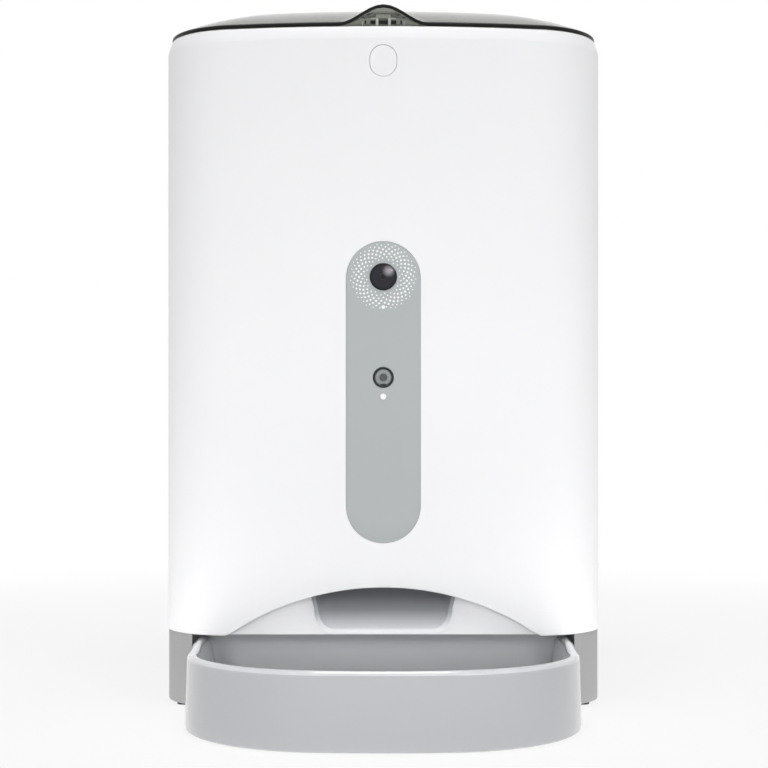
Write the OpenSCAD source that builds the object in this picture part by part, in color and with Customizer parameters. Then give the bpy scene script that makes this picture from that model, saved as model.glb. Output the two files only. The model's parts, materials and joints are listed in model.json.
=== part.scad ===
// Automatic pet feeder with a camera: a tall food bin with a hinged dome lid,
// a motor-driven portion rotor, a chute, and a bowl that slides under the body.
// Millimetres, +Z up, the camera looks along -Y.

/* [Body] */
// Width of the body
body_w = 216; // [206:1:240]
// Depth of the body without the bowl
body_d = 208; // [200:1:230]
// Radius of the body's upright corners
corner_r = 39; // [34:1:44]
// Radius of the bowed front in plan
front_bow_r = 404; // [360:1:600]
// Height of the shell's lower edge above the floor
base_h = 36; // [35:0.5:40]
// Height of the shell's top edge, where the lid seats
shell_top = 329; // [322:1:350]
// Wall of the shell
shell_wall = 2.6; // [2.4:0.1:3]
// Height of the bevelled band under the lid
band_h = 6.2; // [4:0.1:8]
// How far the band leans in
band_in = 2.1; // [1:0.1:3]
// Thickness of the shell's rim at the top
rim_t = 5; // [4.5:0.1:6]
// Width of the arch over the bowl
arch_w = 150; // [140:1:160]
// Height of the arch over the bowl
arch_h = 24; // [20:0.5:28]

/* [Base] */
// Gap between the base and the floor
foot_gap = 1.5; // [1:0.1:3]
// Wall of the base
base_wall = 2.5; // [2:0.1:3]
// Step between the shell's side and the base's side
base_step = 0.4; // [0.2:0.1:1]
// Diameter of a rubber foot
foot_d = 8; // [6:0.5:9]

/* [Lid] */
// Thickness of the lid
lid_t = 1.8; // [1.4:0.1:2.4]
// Rise of the lid's dome
lid_rise = 18; // [14:0.5:22]
// Exponent of the dome's profile, higher is flatter
lid_power = 3.2; // [2.4:0.1:4]
// Height of the finger arch at the lid's front edge
finger_h = 8.7; // [7:0.1:10]
// Width of the finger arch
finger_w = 44; // [38:1:54]
// Depth over which the finger arch fades into the dome
finger_depth = 40; // [30:1:60]
// Radius of a hinge barrel
barrel_r = 3; // [2.8:0.1:3.4]
// Radius of the hinge pin
pin_r = 1.5; // [1.2:0.1:1.6]

/* [Bowl] */
// How far the bowl reaches out in front of the body
bowl_reach = 106; // [96:1:120]
// How far the bowl reaches in under the body
bowl_tuck = 50; // [44:1:54]
// Width of the bowl at its foot
bowl_w = 184; // [178:1:188]
// Height of the bowl's rim
bowl_h = 34.5; // [30:0.5:34.5]
// How far the bowl's wall leans in, foot to rim
bowl_draft = 1; // [0.5:0.1:2]
// Wall of the bowl
bowl_wall = 2.4; // [2:0.1:3]
// Width of the bowl's rim
bowl_rim_w = 5; // [4:0.5:7]
// How far the bowl's inside narrows, rim to floor
bowl_flank = 5; // [3:0.5:7]
// Radius of the bowl's front corners
bowl_corner_r = 68; // [64:1:86]
// Radius of the bowl's bowed front
bowl_bow_r = 350; // [300:5:500]

/* [Front panel] */
// Width of the grey panel
panel_w = 35.7; // [32:0.1:42]
// Height of the grey panel
panel_h = 144.4; // [136:0.1:150]
// Height of the panel's middle above the floor
panel_z = 153.4; // [150:0.1:160]
// Depth of the panel's pocket
panel_t = 1.4; // [1:0.1:1.6]
// Height of the camera above the floor
camera_z = 208.6; // [204:0.1:212]
// Diameter of the camera's window
camera_d = 13; // [11:0.1:15]
// Height of the infrared lamp
lamp_z = 160.5; // [156:0.1:166]
// Diameter of the infrared lamp's bezel
lamp_d = 10; // [9:0.1:12]
// Height of the status light
status_z = 151.4; // [148:0.1:153]
// Diameter of the status light
status_d = 3; // [2:0.1:4]
// Height of the recording light
record_z = 194.2; // [188:0.1:197]
// Diameter of the recording light
record_d = 1.9; // [1.5:0.1:2.5]

/* [Latch] */
// Height of the lid button's middle
button_z = 312; // [309:0.1:312.5]
// Width of the lid button
button_w = 12.9; // [11:0.1:16]
// Height of the lid button
button_h = 15.1; // [15:0.1:16]
// Travel of the lid button
button_travel = 2.5; // [1.5:0.1:3]

/* [Dispenser] */
// Inner radius of the rotor's chamber
chamber_r = 70.5; // [68:0.5:72]
// Height of the chamber's floor, its top face
chamber_z = 107; // [105:0.5:110]
// Height of the chamber above its floor
chamber_h = 43; // [40:0.5:46]
// Wall of the chamber and the hopper
bin_wall = 2.2; // [2:0.1:3]
// Set-back of the hopper's front wall from the body's front
hopper_back = 26; // [26:0.5:32]
// Height at which the hopper begins to narrow
funnel_z = 215; // [205:1:225]
// Number of rotor vanes
vanes = 6; // [5:1:8]
// Thickness of a vane
vane_t = 2.4; // [2:0.1:3]
// Radius of the rotor shaft
shaft_r = 4; // [3.5:0.1:4.5]
// Half angle of the outlet in the chamber's floor
outlet_angle = 28; // [24:1:30]
// Inner radius of the outlet
outlet_r = 36; // [35:0.5:42]
// Half width of the outlet at the bowl, at the top of its mouth
mouth_top = 34; // [31:0.5:36]
// Half width of the outlet at the bowl, at its lip
mouth_low = 31.5; // [26:0.5:33]

/* [Drive] */
// Gear module
gear_m = 1; // [0.9:0.05:1]
// Teeth on the rotor's gear
rotor_teeth = 56; // [54:2:58]
// Teeth on the idler's small gear
idler_small = 14; // [13:1:15]
// Teeth on the idler's large gear
idler_large = 42; // [40:2:44]
// Teeth on the motor's pinion
pinion_teeth = 12; // [12:1:14]
// Face width of the gears
gear_w = 6; // [5:0.5:7]
// Diameter of the motor
motor_d = 28; // [24:0.5:30]
// Length of the motor
motor_l = 32; // [28:0.5:34]

/* [Batteries] */
// Diameter of a cell
cell_d = 34.2; // [33:0.1:34.2]
// Length of a cell
cell_l = 61.5; // [58:0.1:61.5]

/* [Fits] */
// Gap between parts that slide on each other
slide_gap = 1; // [0.6:0.1:1.5]
// Gap between parts that seat in each other
seat_gap = 0.2; // [0.1:0.05:0.3]
// Radial gap of a shaft or pin in its bore
run_gap = 0.05; // [0.02:0.01:0.1]
// Gap between moving parts that pass close by
pass_gap = 0.3; // [0.3:0.05:0.5]

/* [Hidden] */
$fn = 96;
fine = 256;
coarse = 24;
funnel_steps = 48;
over = 1;
bow_ease = 1;

// Body: outlines are [half width, front, rear, front corner, rear corner, bow radius]
front_y = -body_d/2;
rear_y = body_d/2;
body = [body_w/2, front_y, rear_y, corner_r, corner_r, front_bow_r];
bow_mid_y = front_y + front_bow_r;
crease_z = shell_top - band_h;

// Stack at the top: ledge, hopper flange, top frame
ledge_in = 9;
ledge_t = 3;
flange_t = 2;
frame_t = 5.1;
joint_lap = 0.5;
joint_step = 0.4;
frame_top = shell_top - joint_step;
seat_z = frame_top - frame_t - flange_t;
ledge_z = seat_z - ledge_t;

// Hopper, chamber and rotor
hopper_corner_r = 30;
hopper_in = ledge_in + joint_step;
hopper_plan = [body_w/2 - hopper_in, front_y + hopper_back, rear_y - hopper_in,
               hopper_corner_r, hopper_corner_r, front_bow_r];
rotor_y = 8;
floor_t = 3;
floor_low = chamber_z - floor_t;
chamber_top = chamber_z + chamber_h;
chamber_lip = 5.5;
baffle_t = 2;
hopper_low = chamber_top + baffle_t;
rotor_clear = 2.5;
rotor_lift = 1;
rotor_drop = 4;
rotor_r = chamber_r - rotor_clear;
rotor_low = chamber_z + rotor_lift;
rotor_high = chamber_top - rotor_drop;
hub_r = 12;
bush_r = 7;
bush_lip_t = 2;
bush_lip_w = 2.5;
bush_proud = 0.5;
thrust_t = 1.2;
shaft_below = 1;
agitator_lift = 1.5;
agitator_low = hopper_low + agitator_lift;
agitator_h = 12;
agitator_r = 9;
agitator_cap = 3;
arm_root = 7;
baffle_over = 12;
arm_r = 2.2;
arm_l = 44;
arm_lift = 38;

// Drive, from the rotor backwards
idler_y = rotor_y + gear_m*(rotor_teeth + idler_small)/2;
motor_y = idler_y + gear_m*(idler_large + pinion_teeth)/2;
plate_t = 2.5;
gear_space = 24;
plate_z = floor_low - gear_space;
plate_top = plate_z + plate_t;
gear_lift = 1.5;
gear_step = 1;
lower_gear_z = plate_top + gear_lift;
upper_gear_z = lower_gear_z + gear_w + gear_step;
axle_r = 2;
axle_boss_w = 2.5;
axle_boss_h = 3;
motor_shaft_r = 1.5;
motor_shaft_in = 6;
motor_nose_r = 4;
motor_tail_r = 5;
motor_nose_h = 1.5;
motor_low = plate_z - motor_l;
pillar_r = 4;
pillar_x = 36;
pillar_front = 8;
pillar_rear = 50;
pillar_y = [rotor_y - pillar_front, rotor_y + pillar_rear];
plate_rim = 1;
motor_rim = 3;
plate_half = pillar_x + pillar_r + plate_rim;
plate_front = pillar_y[0] - pillar_r - plate_rim;
plate_rear = motor_y + motor_d/2 + motor_rim;
plate_hole_r = 1.4;
plate_pilot_r = 1.2;
plate_pilot_l = 10;
plate_screw_r = 1.15;
plate_screw_in = 8;
pressure_angle = 25;
addendum = 0.8;
dedendum = 1.05;
backlash = 0.14;
flank_step = 0.02;

// Base, dock and battery bay
base_floor = 2;
base_top_floor = foot_gap + base_floor;
dock_half = bowl_w/2 + slide_gap;
dock_rear = front_y + bowl_tuck + pass_gap;
deck_t = 2;
deck_in = 20;
deck_front = front_y + deck_in;
tongue_h = 6;
tongue_t = 2.2;
post_r = 5;
post_x = 62;
post_reach = 22;
post_y = [rotor_y - post_reach, rotor_y + post_reach];
post_top = 60;
cell_gap = 0.6;
cell_pitch = cell_d + cell_gap;
cell_nub_r = 4.75;
cell_nub_h = 1.5;
contact_t = 3;
contact_r = [6, 8];
bay_gap = 0.7;
bay_head = 1.5;
bay_in = 7;
bay_half = 1.5*cell_pitch + bay_gap;
bay_l = cell_l + 2*contact_t + 2*seat_gap;
bay_rear = rear_y - bay_in;
bay_front = bay_rear - bay_l;
bay_wall = 2;
cell_z = base_top_floor + bay_gap + cell_d/2;
bay_top = cell_z + cell_d/2 + bay_head;
door_lip = 1;
door_tab = 10;
door_screw_y = bay_front - door_tab/2;
door_screw_r = 1.25;
door_screw_l = 6;
door_head_in = 1;
door_pilot_r = 1.3;
door_boss_h = 8;
jack_half = 5.5;
jack_side = 3.6;
jack_x = -bay_half - bay_wall - jack_half - jack_side;
jack_z = 18;
jack_tall = 6;
jack_l = 11;
jack_back = 2.2;
jack_r = 4.3;
plug_r = 3.2;
plug_l = 8;
plug_pin_r = 1;
plug_pin_in = 2;
foot_sink = 0.8;
foot_rear_in = [30, 28];
foot_front_in = [2.6, 30];
foot_rear = [body_w/2 - foot_rear_in[0], rear_y - foot_rear_in[1]];
foot_front = [(dock_half + body_w/2)/2 - foot_front_in[0], front_y + foot_front_in[1]];

// Case screws: one boss in each upright corner of the shell
boss_r = 4;
boss_lap = 0.6;
boss_out = corner_r - shell_wall - boss_r + boss_lap;
front_boss_a = 12;
rear_boss_a = 45;
corner_x = body_w/2 - corner_r;
front_corner_y = outline_front(body);
boss_h = 20;
boss_cap = 4;
case_head_in = 8;
case_head_z = foot_gap + case_head_in;
case_screw_in = 14;
post_web = 10;
post_bore = 14;
post_screw_in = 12;
screw_r = 1.5;
screw_head_r = 2.9;
screw_head_h = 2;
head_ratio = 1.9;

// Outlet and chute
mouth_h = 15.5;
mouth_tall = 96.5;
mouth_corner = 7.5;
chute_t = 2;
lip_rise = 3;
lip_out = 1.5;
lip_z = base_h + lip_rise;
outlet_in = 14.5;
panel_front = front_y + outlet_in;
lip_y = panel_front - lip_out;
chute_back_in = 4.5;
chute_back_y = rotor_y - outlet_r + chute_back_in;
chute_high_z = floor_low - pass_gap;
chute_slope = 38;
channel_out = 20;
outlet_panel_t = 2;
outlet_panel_h = 44;
outlet_lean = 4;
outlet_spare = 5;
cover_rise = 24;
cover_back = 3;
cover_z = lip_z + cover_rise;
cover_y = rotor_y - chamber_r - cover_back;

// Front parts, measured inwards from the bowed front
front_deep = 6;
board_in = 13;
board_y = front_y + board_in;
board_t = 1.6;
board_half = 28;
board_drop = 25;
board_rise = 95;
board_low = panel_z - board_drop;
board_high = panel_z + board_rise;
board_boss_x = 23;
board_boss_r = 3;
board_boss_in = 6;
board_hole_r = 1.3;
board_pilot_r = 1.1;
board_pilot_l = 7;
board_screw_r = 1.05;
board_screw_l = 6;
board_head_r = 2.2;
board_head_h = 1.6;
chip = 14;
chip_t = 1.4;
chip_rise = 10;
socket = [10, 4.5, 7];
socket_pitch = 13;
socket_rise = 3;
radio = [14, 2, 18];
radio_x = -18;
radio_drop = 26;
lens_r = 5.6;
lens_shoulder = 0.7;
lens_wall = 1.6;
lens_deep = 7;
bezel_t = 1.2;
lamp_sink = 0.3;
camera_board_half = 11;
camera_board_t = 1.2;
camera_post_at = 8;
camera_post_r = 1.2;
camera_gap = 1;
camera_back_y = board_y - camera_gap;

// Lid, hinge and latch
hinge_in = 0.3;
hinge_lift = 0.4;
knuckle_gap = 0.6;
hinge_y = rear_y - band_in - barrel_r - hinge_in;
hinge_z = shell_top + barrel_r + hinge_lift;
lid_rear = hinge_y - barrel_r - knuckle_gap;
lid_outline = [body_w/2 - band_in, front_y + band_in, rear_y - band_in,
               corner_r - band_in, corner_r - band_in, front_bow_r - band_in];
lid_steps = 96;
lid_rings = 9;
lid_ring_power = 0.75;
lid_shares = [0.4, 0.62, 0.74, 0.9];
lid_blend = 4;
knuckle_mid = 26;
knuckle_lid = 29;
knuckle_end = 11;
leaf_l = 16;
leaf_h = 2.6;
seal_rise = 1.5;
seal_lift = 1;
seal_in = 0.8;
seal_t = 2.6;
seal_top = shell_top + seal_rise;
catch_in = 11;
catch_y = front_y + catch_in;
catch_t = 2.5;
catch_x = 3;
catch_w = 1.2;
catch_bar = 2;
catch_bar_l = 10.5;
catch_foot_h = 2.4;
catch_drop = 12;
catch_low = seat_z - catch_drop;
catch_lip = 1.6;
slot_half = 10.1;
slot_in = [6.5, 18];
slot_front = front_y + slot_in[0];
slot_rear = front_y + slot_in[1];
latch_side = 4;
latch_deep = 14;
button_flange = 1.4;
button_in = 2.2;
button_back_y = front_y + shell_wall + button_in;
slider_half = 9.8;
slider_t = 2;
slider_bar = 1.6;
slider_lift = 1.5;
slider_low = catch_low + slider_lift;
slider_h = 5;
slider_skirt = 2;
slider_reach = 8.5;
slider_rear = catch_y + slider_reach;
nose_half = 5;
nose_z = [1, 3.5];
guide_gap = 0.5;
guide_t = 2;
guide_lip = 2.4;
spring_r = 2.6;
spring_wire = 0.4;
spring_turns = 4;
spring_sides = 6;
spring_cuts = 10;
stud_l = 3;
spring_y = [slider_rear, front_y + hopper_back];

// Bowl outline
bowl_rear_r = 24;
bowl_plan = [bowl_w/2, front_y - bowl_reach, front_y + bowl_tuck, bowl_corner_r, bowl_rear_r, bowl_bow_r];

// Speaker behind its grille
speaker_x = 50;
speaker_z = 74;
speaker_r = 14;
speaker_t = 6;
speaker_rim_t = 3;
speaker_rim_w = 4;
grille_pitch = 4.2;
grille_r = 0.9;
grille_rings = 2;

// Height where the bow's centre line meets an outline's front corner
function outline_front(p) = p[1] + p[5] - sqrt(pow(p[5] - p[3], 2) - pow(p[0] - p[3], 2));

// Radius at which a bowed front is drawn, a touch tighter so that it crosses the corners' arcs
function drawn_bow(p) = p[5] - bow_ease;

// Plan outline with round corners and a bowed front, drawn in by inset
module outline(p, inset = 0) {
  hw = p[0] - inset;
  xf = p[0] - p[3];
  xr = p[0] - p[4];
  yf = outline_front(p);
  yr = p[2] - p[4];
  rear = p[2] - inset;
  polygon([[-hw, yf], [hw, yf], [hw, yr], [xr, rear], [-xr, rear], [-hw, yr]]);
  for (s = [-1, 1]) translate([s*xf, yf]) circle(p[3] - inset);
  for (s = [-1, 1]) translate([s*xr, yr]) circle(p[4] - inset);
  intersection() {
    translate([0, p[1] + drawn_bow(p)]) circle(drawn_bow(p) - inset, $fn = fine);
    bow_wedge(p);
  }
}

// The plan between the two front corners' centre lines, which the bowed front fills
module bow_wedge(p) {
  xf = p[0] - p[3];
  yf = outline_front(p);
  ex = xf + (p[3] + over)*xf/(p[5] - p[3]);
  ey = yf - (p[3] + over)*(p[1] + p[5] - yf)/(p[5] - p[3]);
  front = p[1] - over;
  polygon([[-xf, yf + over], [-ex, ey], [-ex, front], [ex, front], [ex, ey], [xf, yf + over]]);
}

// The outline as an upright block between two heights
module block(p, inset, low, high) {
  translate([0, 0, low]) linear_extrude(high - low) outline(p, inset);
}

// The outline as a block whose sides lean from one inset to another
module tapered(p, inset_low, inset_high, low, h) {
  xf = p[0] - p[3];
  xr = p[0] - p[4];
  yf = outline_front(p);
  yr = p[2] - p[4];
  bow = drawn_bow(p);
  half_low = p[0] - inset_low;
  half_high = p[0] - inset_high;
  translate([0, 0, low]) {
    translate([0, yr, 0]) rotate([90, 0, 0]) linear_extrude(yr - yf)
      polygon([[-half_low, 0], [half_low, 0], [half_high, h], [-half_high, h]]);
    translate([-xr, 0, 0]) rotate([90, 0, 90]) linear_extrude(2*xr)
      polygon([[yf, 0], [p[2] - inset_low, 0], [p[2] - inset_high, h], [yf, h]]);
    for (s = [-1, 1]) intersection() {
      translate([s*xf, yf, 0]) cylinder(h, p[3] - inset_low, p[3] - inset_high);
      span([-p[0] - over, p[1] - over, -over], [p[0] + over, (yf + yr)/2, h + over]);
    }
    for (s = [-1, 1]) translate([s*xr, yr, 0]) cylinder(h, p[4] - inset_low, p[4] - inset_high);
    intersection() {
      translate([0, p[1] + bow, 0]) cylinder(h, bow - inset_low, bow - inset_high, $fn = fine);
      linear_extrude(h) bow_wedge(p);
    }
  }
}

// A box from corner to corner
module span(low, high) {
  translate(low) cube(high - low);
}

// A round bar along Y between two depths
module rod_y(x, z, r, y0, y1, steps = $fn) {
  translate([x, y1, z]) rotate([90, 0, 0]) cylinder(y1 - y0, r, r, $fn = steps);
}

// A round bar along Z between two heights
module rod_z(x, y, r, z0, z1) {
  translate([x, y, z0]) cylinder(z1 - z0, r, r);
}

// An upright stadium, extruded along Y
module stadium_y(z, w, h, y0, y1) {
  translate([0, y1, z]) rotate([90, 0, 0]) linear_extrude(y1 - y0) {
    square([w, h - w], center = true);
    for (s = [-1, 1]) translate([0, s*(h - w)/2]) circle(w/2);
  }
}

// The body's bowed front as a sheet between two depths
module bow_sheet(depth0, depth1, z0, z1) {
  translate([0, bow_mid_y, z0]) difference() {
    cylinder(z1 - z0, front_bow_r - depth0, front_bow_r - depth0, $fn = fine);
    translate([0, 0, -over])
      cylinder(z1 - z0 + 2*over, front_bow_r - depth1, front_bow_r - depth1, $fn = fine);
  }
}

// Moves the body's own frame so that the whole object is centred on the origin
module centred() {
  translate([0, bowl_reach/2, 0]) children();
}

function boss_at(a, s, y) = [s*(corner_x + boss_out*cos(a)), y];
front_boss_y = front_corner_y - boss_out*sin(front_boss_a);
rear_boss_y = rear_y - corner_r + boss_out*sin(rear_boss_a);
bosses = [for (s = [-1, 1]) each
  [boss_at(front_boss_a, s, front_boss_y), boss_at(rear_boss_a, s, rear_boss_y)]];
posts = [for (s = [-1, 1], y = post_y) [s*post_x, y]];
pillars = [for (s = [-1, 1], y = pillar_y) [s*pillar_x, y]];
board_boss_z = [board_low + board_boss_in, board_high - board_boss_in];
board_bosses = [for (s = [-1, 1], z = board_boss_z) [s*board_boss_x, z]];
feet_at = [for (s = [-1, 1], p = [foot_front, foot_rear]) [s*p[0], p[1]]];

// A screw pointing up, its head's underside at z
module screw_up(at, z, l, r = screw_r) {
  rod_z(at[0], at[1], r, z, z + l);
  rod_z(at[0], at[1], r*head_ratio, z - screw_head_h, z);
}

// A round bar on the hinge's axis
module hinge_bar(x0, x1, r) {
  translate([x0, hinge_y, hinge_z]) rotate([0, 90, 0]) cylinder(x1 - x0, r, r);
}

module pin_bore() {
  hinge_bar(-body_w/2, body_w/2, pin_r + run_gap);
}

lid_knuckle_x0 = knuckle_mid + knuckle_gap;
lid_knuckle_x1 = lid_knuckle_x0 + knuckle_lid;
end_knuckle_x0 = lid_knuckle_x1 + knuckle_gap;
end_knuckle_x1 = end_knuckle_x0 + knuckle_end;
shell_knuckles = [[-knuckle_mid, knuckle_mid], [end_knuckle_x0, end_knuckle_x1],
                  [-end_knuckle_x1, -end_knuckle_x0]];

// Grille holes on a hexagonal grid
function grille_hole(i, j) = [speaker_x + grille_pitch*(i + j/2), speaker_z + grille_pitch*j*sin(60)];
grille_span = [-grille_rings:grille_rings];
grille = [for (i = grille_span, j = grille_span) if (abs(i + j) <= grille_rings) grille_hole(i, j)];

module outer_shell() color("white") centred() difference() {
  union() {
    difference() {
      union() {
        block(body, 0, base_h, crease_z);
        tapered(body, 0, band_in, crease_z, band_h);
        block(body, band_in + joint_step, crease_z - over, shell_top);
      }
      block(body, shell_wall, base_h - over, ledge_z);
      block(body, ledge_in, ledge_z - over, shell_top + over);
      block(body, rim_t, seat_z, shell_top + over);
    }
    for (k = shell_knuckles) {
      hinge_bar(k[0], k[1], barrel_r);
      span([k[0], hinge_y - barrel_r, shell_top], [k[1], hinge_y + barrel_r, hinge_z]);
    }
    for (b = bosses) rod_z(b[0], b[1], boss_r, base_h, base_h + boss_h);
    for (b = board_bosses) rod_y(b[0], b[1], board_boss_r, front_y + shell_wall - joint_lap, board_y);
  }
  arch_r = (arch_w*arch_w/4 + arch_h*arch_h)/(2*arch_h);
  rod_y(0, base_h + arch_h - arch_r, arch_r, front_y - over, front_y + corner_r, fine);
  intersection() {
    stadium_y(panel_z, panel_w + 2*seat_gap, panel_h + 2*seat_gap, front_y - over, front_y + front_deep);
    bow_sheet(-over, panel_t + run_gap, panel_z - panel_h, panel_z + panel_h);
  }
  rod_y(0, camera_z, lens_r + seat_gap, front_y - over, board_y);
  rod_y(0, lamp_z, lamp_d/2 - lens_shoulder, front_y - over, front_y + front_deep);
  rod_y(0, status_z, status_d/2 + seat_gap, front_y - over, front_y + front_deep);
  rod_y(0, record_z, record_d/2 + seat_gap, front_y - over, front_y + front_deep);
  stadium_y(button_z, button_w + 2*pass_gap, button_h + 2*pass_gap, front_y - over, front_y + front_deep);
  latch_half = slot_half + latch_side;
  span([-latch_half, front_y + shell_wall, button_z - button_h],
       [latch_half, front_y + latch_deep, seat_z]);
  pin_bore();
  for (b = bosses) rod_z(b[0], b[1], screw_r + run_gap, base_h - over, base_h + boss_h - boss_cap);
  for (b = board_bosses) rod_y(b[0], b[1], board_pilot_r, board_y - board_pilot_l, board_y + over);
  for (g = grille) rod_y(g[0], g[1], grille_r, rear_y - 2*shell_wall, rear_y + over, coarse);
}

module top_frame() color("white") centred() difference() {
  block(body, rim_t + seat_gap, seat_z + flange_t, frame_top);
  block(hopper_plan, bin_wall, seat_z, shell_top);
  span([-slot_half, slot_front, seat_z], [slot_half, slot_rear, shell_top]);
}

module front_panel() color("silver") centred() difference() {
  intersection() {
    stadium_y(panel_z, panel_w, panel_h, front_y - over, front_y + front_deep);
    bow_sheet(0, panel_t, panel_z - panel_h, panel_z + panel_h);
  }
  rod_y(0, camera_z, camera_d/2 + seat_gap, front_y - over, front_y + front_deep);
  rod_y(0, lamp_z, lamp_d/2 + seat_gap, front_y - over, front_y + front_deep);
  rod_y(0, status_z, status_d/2 + seat_gap, front_y - over, front_y + front_deep);
  rod_y(0, record_z, record_d/2 + seat_gap, front_y - over, front_y + front_deep);
}

module camera_window() color("black") centred() {
  rod_y(0, camera_z, camera_d/2, front_y, front_y + panel_t);
}

module camera_barrel() color("dimgray") centred() difference() {
  rod_y(0, camera_z, lens_r, front_y + panel_t + run_gap, camera_back_y - camera_board_t);
  rod_y(0, camera_z, lens_r - lens_wall, front_y, front_y + lens_deep);
}

module camera_board() color("darkgreen") centred() {
  low = [-camera_board_half, camera_back_y - camera_board_t, camera_z - camera_board_half];
  high = [camera_board_half, camera_back_y, camera_z + camera_board_half];
  span(low, high);
  for (x = [-1, 1], z = [-1, 1])
    rod_y(x*camera_post_at, camera_z + z*camera_post_at, camera_post_r, camera_back_y, board_y);
}

module lamp_bezel() color("dimgray") centred() difference() {
  rod_y(0, lamp_z, lamp_d/2, front_y, front_y + panel_t);
  rod_y(0, lamp_z, lamp_d/2 - bezel_t, front_y - over, front_y + front_deep);
}

module infrared_lamp() color("gray") centred() {
  rod_y(0, lamp_z, lamp_d/2 - bezel_t - seat_gap, front_y + lamp_sink, board_y);
}

module status_light() color("white") centred() {
  rod_y(0, status_z, status_d/2, front_y, board_y);
}

module recording_light() color("white") centred() {
  rod_y(0, record_z, record_d/2, front_y, board_y);
}

module main_board() color("darkgreen") centred() {
  back = board_y + board_t;
  difference() {
    span([-board_half, board_y, board_low], [board_half, back, board_high]);
    for (b = board_bosses) rod_y(b[0], b[1], board_hole_r, board_y - over, back + over);
  }
  translate([-chip/2, back, panel_z + chip_rise]) cube([chip, chip_t, chip]);
  for (i = [-1:1]) translate([i*socket_pitch - socket[0]/2, back, board_low + socket_rise]) cube(socket);
  translate([radio_x, back, board_high - radio_drop]) cube(radio);
}

module board_screws() color("silver") centred() {
  back = board_y + board_t;
  for (b = board_bosses) {
    rod_y(b[0], b[1], board_screw_r, board_y - board_screw_l, back);
    rod_y(b[0], b[1], board_head_r, back, back + board_head_h);
  }
}

// Lid surface: rings of the lid's outline shrink towards the middle and rise
function arc_point(c, r, a) = [c[0] + r*sin(a), c[1] - r*cos(a)];
lid_bow_a = asin((lid_outline[0] - lid_outline[3])/(lid_outline[5] - lid_outline[3]));
function lid_edge_half(t) =
  let(p = lid_outline, yf = outline_front(p), xf = p[0] - p[3], yr = p[2] - p[4], q = lid_shares)
  t < q[0] ? arc_point([0, p[1] + p[5]], p[5], lid_bow_a*t/q[0]) :
  t < q[1] ? arc_point([xf, yf], p[3], lid_bow_a + (90 - lid_bow_a)*(t - q[0])/(q[1] - q[0])) :
  t < q[2] ? [p[0], yf + (yr - yf)*(t - q[1])/(q[2] - q[1])] :
  t < q[3] ? arc_point([xf, yr], p[4], 90 + 90*(t - q[2])/(q[3] - q[2])) :
  [xf*(1 - t)/(1 - q[3]), p[2]];
function lid_edge(i) =
  let(t = 2*i/lid_steps, h = lid_edge_half(t <= 1 ? t : 2 - t))
  [(t <= 1 ? 1 : -1)*h[0], min(h[1], lid_rear)];
function bell(v) = v >= 1 ? 0 : (1 + cos(180*v))/2;
function finger_rise(x, y) =
  finger_h*bell(abs(x)/(finger_w/2))*bell(max(0, y - (front_y + band_in))/finger_depth);
function dome_rise(s) = lid_rise*(1 - pow(s, lid_power));
// The higher of two rises, rounded where they meet
function merged(a, b) = pow(pow(a, lid_blend) + pow(b, lid_blend), 1/lid_blend);
function lid_top(s, x, y) = shell_top + lid_t + merged(dome_rise(s), finger_rise(x, y));
// Underside of the lid at a depth in front of its middle
function lid_under(y) = lid_top(y/(front_y + band_in), 0, y) - lid_t;
function lid_ring(s, drop) =
  [for (i = [0:lid_steps - 1]) let(e = lid_edge(i)*s) [e[0], e[1], lid_top(s, e[0], e[1]) - drop]];
lid_scales = [for (k = [0:lid_rings - 1]) pow(1 - k/lid_rings, lid_ring_power)];

module lid_dome() {
  n = lid_steps;
  rings = lid_rings;
  points = concat(
    [for (k = [0:rings - 1]) each lid_ring(lid_scales[k], 0)],
    [for (k = [0:rings - 1]) each lid_ring(lid_scales[k], lid_t)],
    [[0, 0, lid_top(0, 0, 0)], [0, 0, lid_top(0, 0, 0) - lid_t]]);
  low = n*rings;
  peak = 2*n*rings;
  faces = concat(
    [for (k = [0:rings - 2], i = [0:n - 1]) each
      [[k*n + i, k*n + n + i, k*n + (i + 1)%n], [k*n + (i + 1)%n, k*n + n + i, k*n + n + (i + 1)%n]]],
    [for (k = [0:rings - 2], i = [0:n - 1]) each
      [[low + k*n + i, low + k*n + (i + 1)%n, low + k*n + n + i],
       [low + k*n + (i + 1)%n, low + k*n + n + (i + 1)%n, low + k*n + n + i]]],
    [for (i = [0:n - 1]) each [[i, (i + 1)%n, low + i], [(i + 1)%n, low + (i + 1)%n, low + i]]],
    [for (i = [0:n - 1]) [low - n + i, peak, low - n + (i + 1)%n]],
    [for (i = [0:n - 1]) [peak - n + i, peak - n + (i + 1)%n, peak + 1]]);
  polyhedron(points, faces);
}

module lid() color("gray", 0.7) centred() lid_dome();

module lid_seal() color("dimgray") centred() difference() {
  block(hopper_plan, bin_wall + seal_in, seat_z + flange_t + seal_lift, seal_top);
  block(hopper_plan, bin_wall + seal_in + seal_t, seat_z, seal_top + over);
}

module lid_catch() color("white") centred() {
  high = lid_under(catch_y) - pass_gap;
  foot_x = catch_x + catch_w/2;
  for (s = [-1, 1]) translate([s*catch_x - catch_w/2, catch_y, catch_low])
    cube([catch_w, catch_t, high - catch_low]);
  span([-foot_x, catch_y, catch_low], [foot_x, catch_y + catch_t + catch_lip, catch_low + catch_foot_h]);
  span([-foot_x, catch_y, high - catch_bar], [foot_x, catch_y + catch_bar_l, high]);
}

module lid_hinge() color("gray") centred() difference() {
  leaf_low = seal_top + pass_gap;
  for (s = [-1, 1]) {
    x0 = s > 0 ? lid_knuckle_x0 : -lid_knuckle_x1;
    hinge_bar(x0, x0 + knuckle_lid, barrel_r);
    span([x0, hinge_y - leaf_l, leaf_low], [x0 + knuckle_lid, hinge_y, leaf_low + leaf_h]);
  }
  pin_bore();
}

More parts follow.
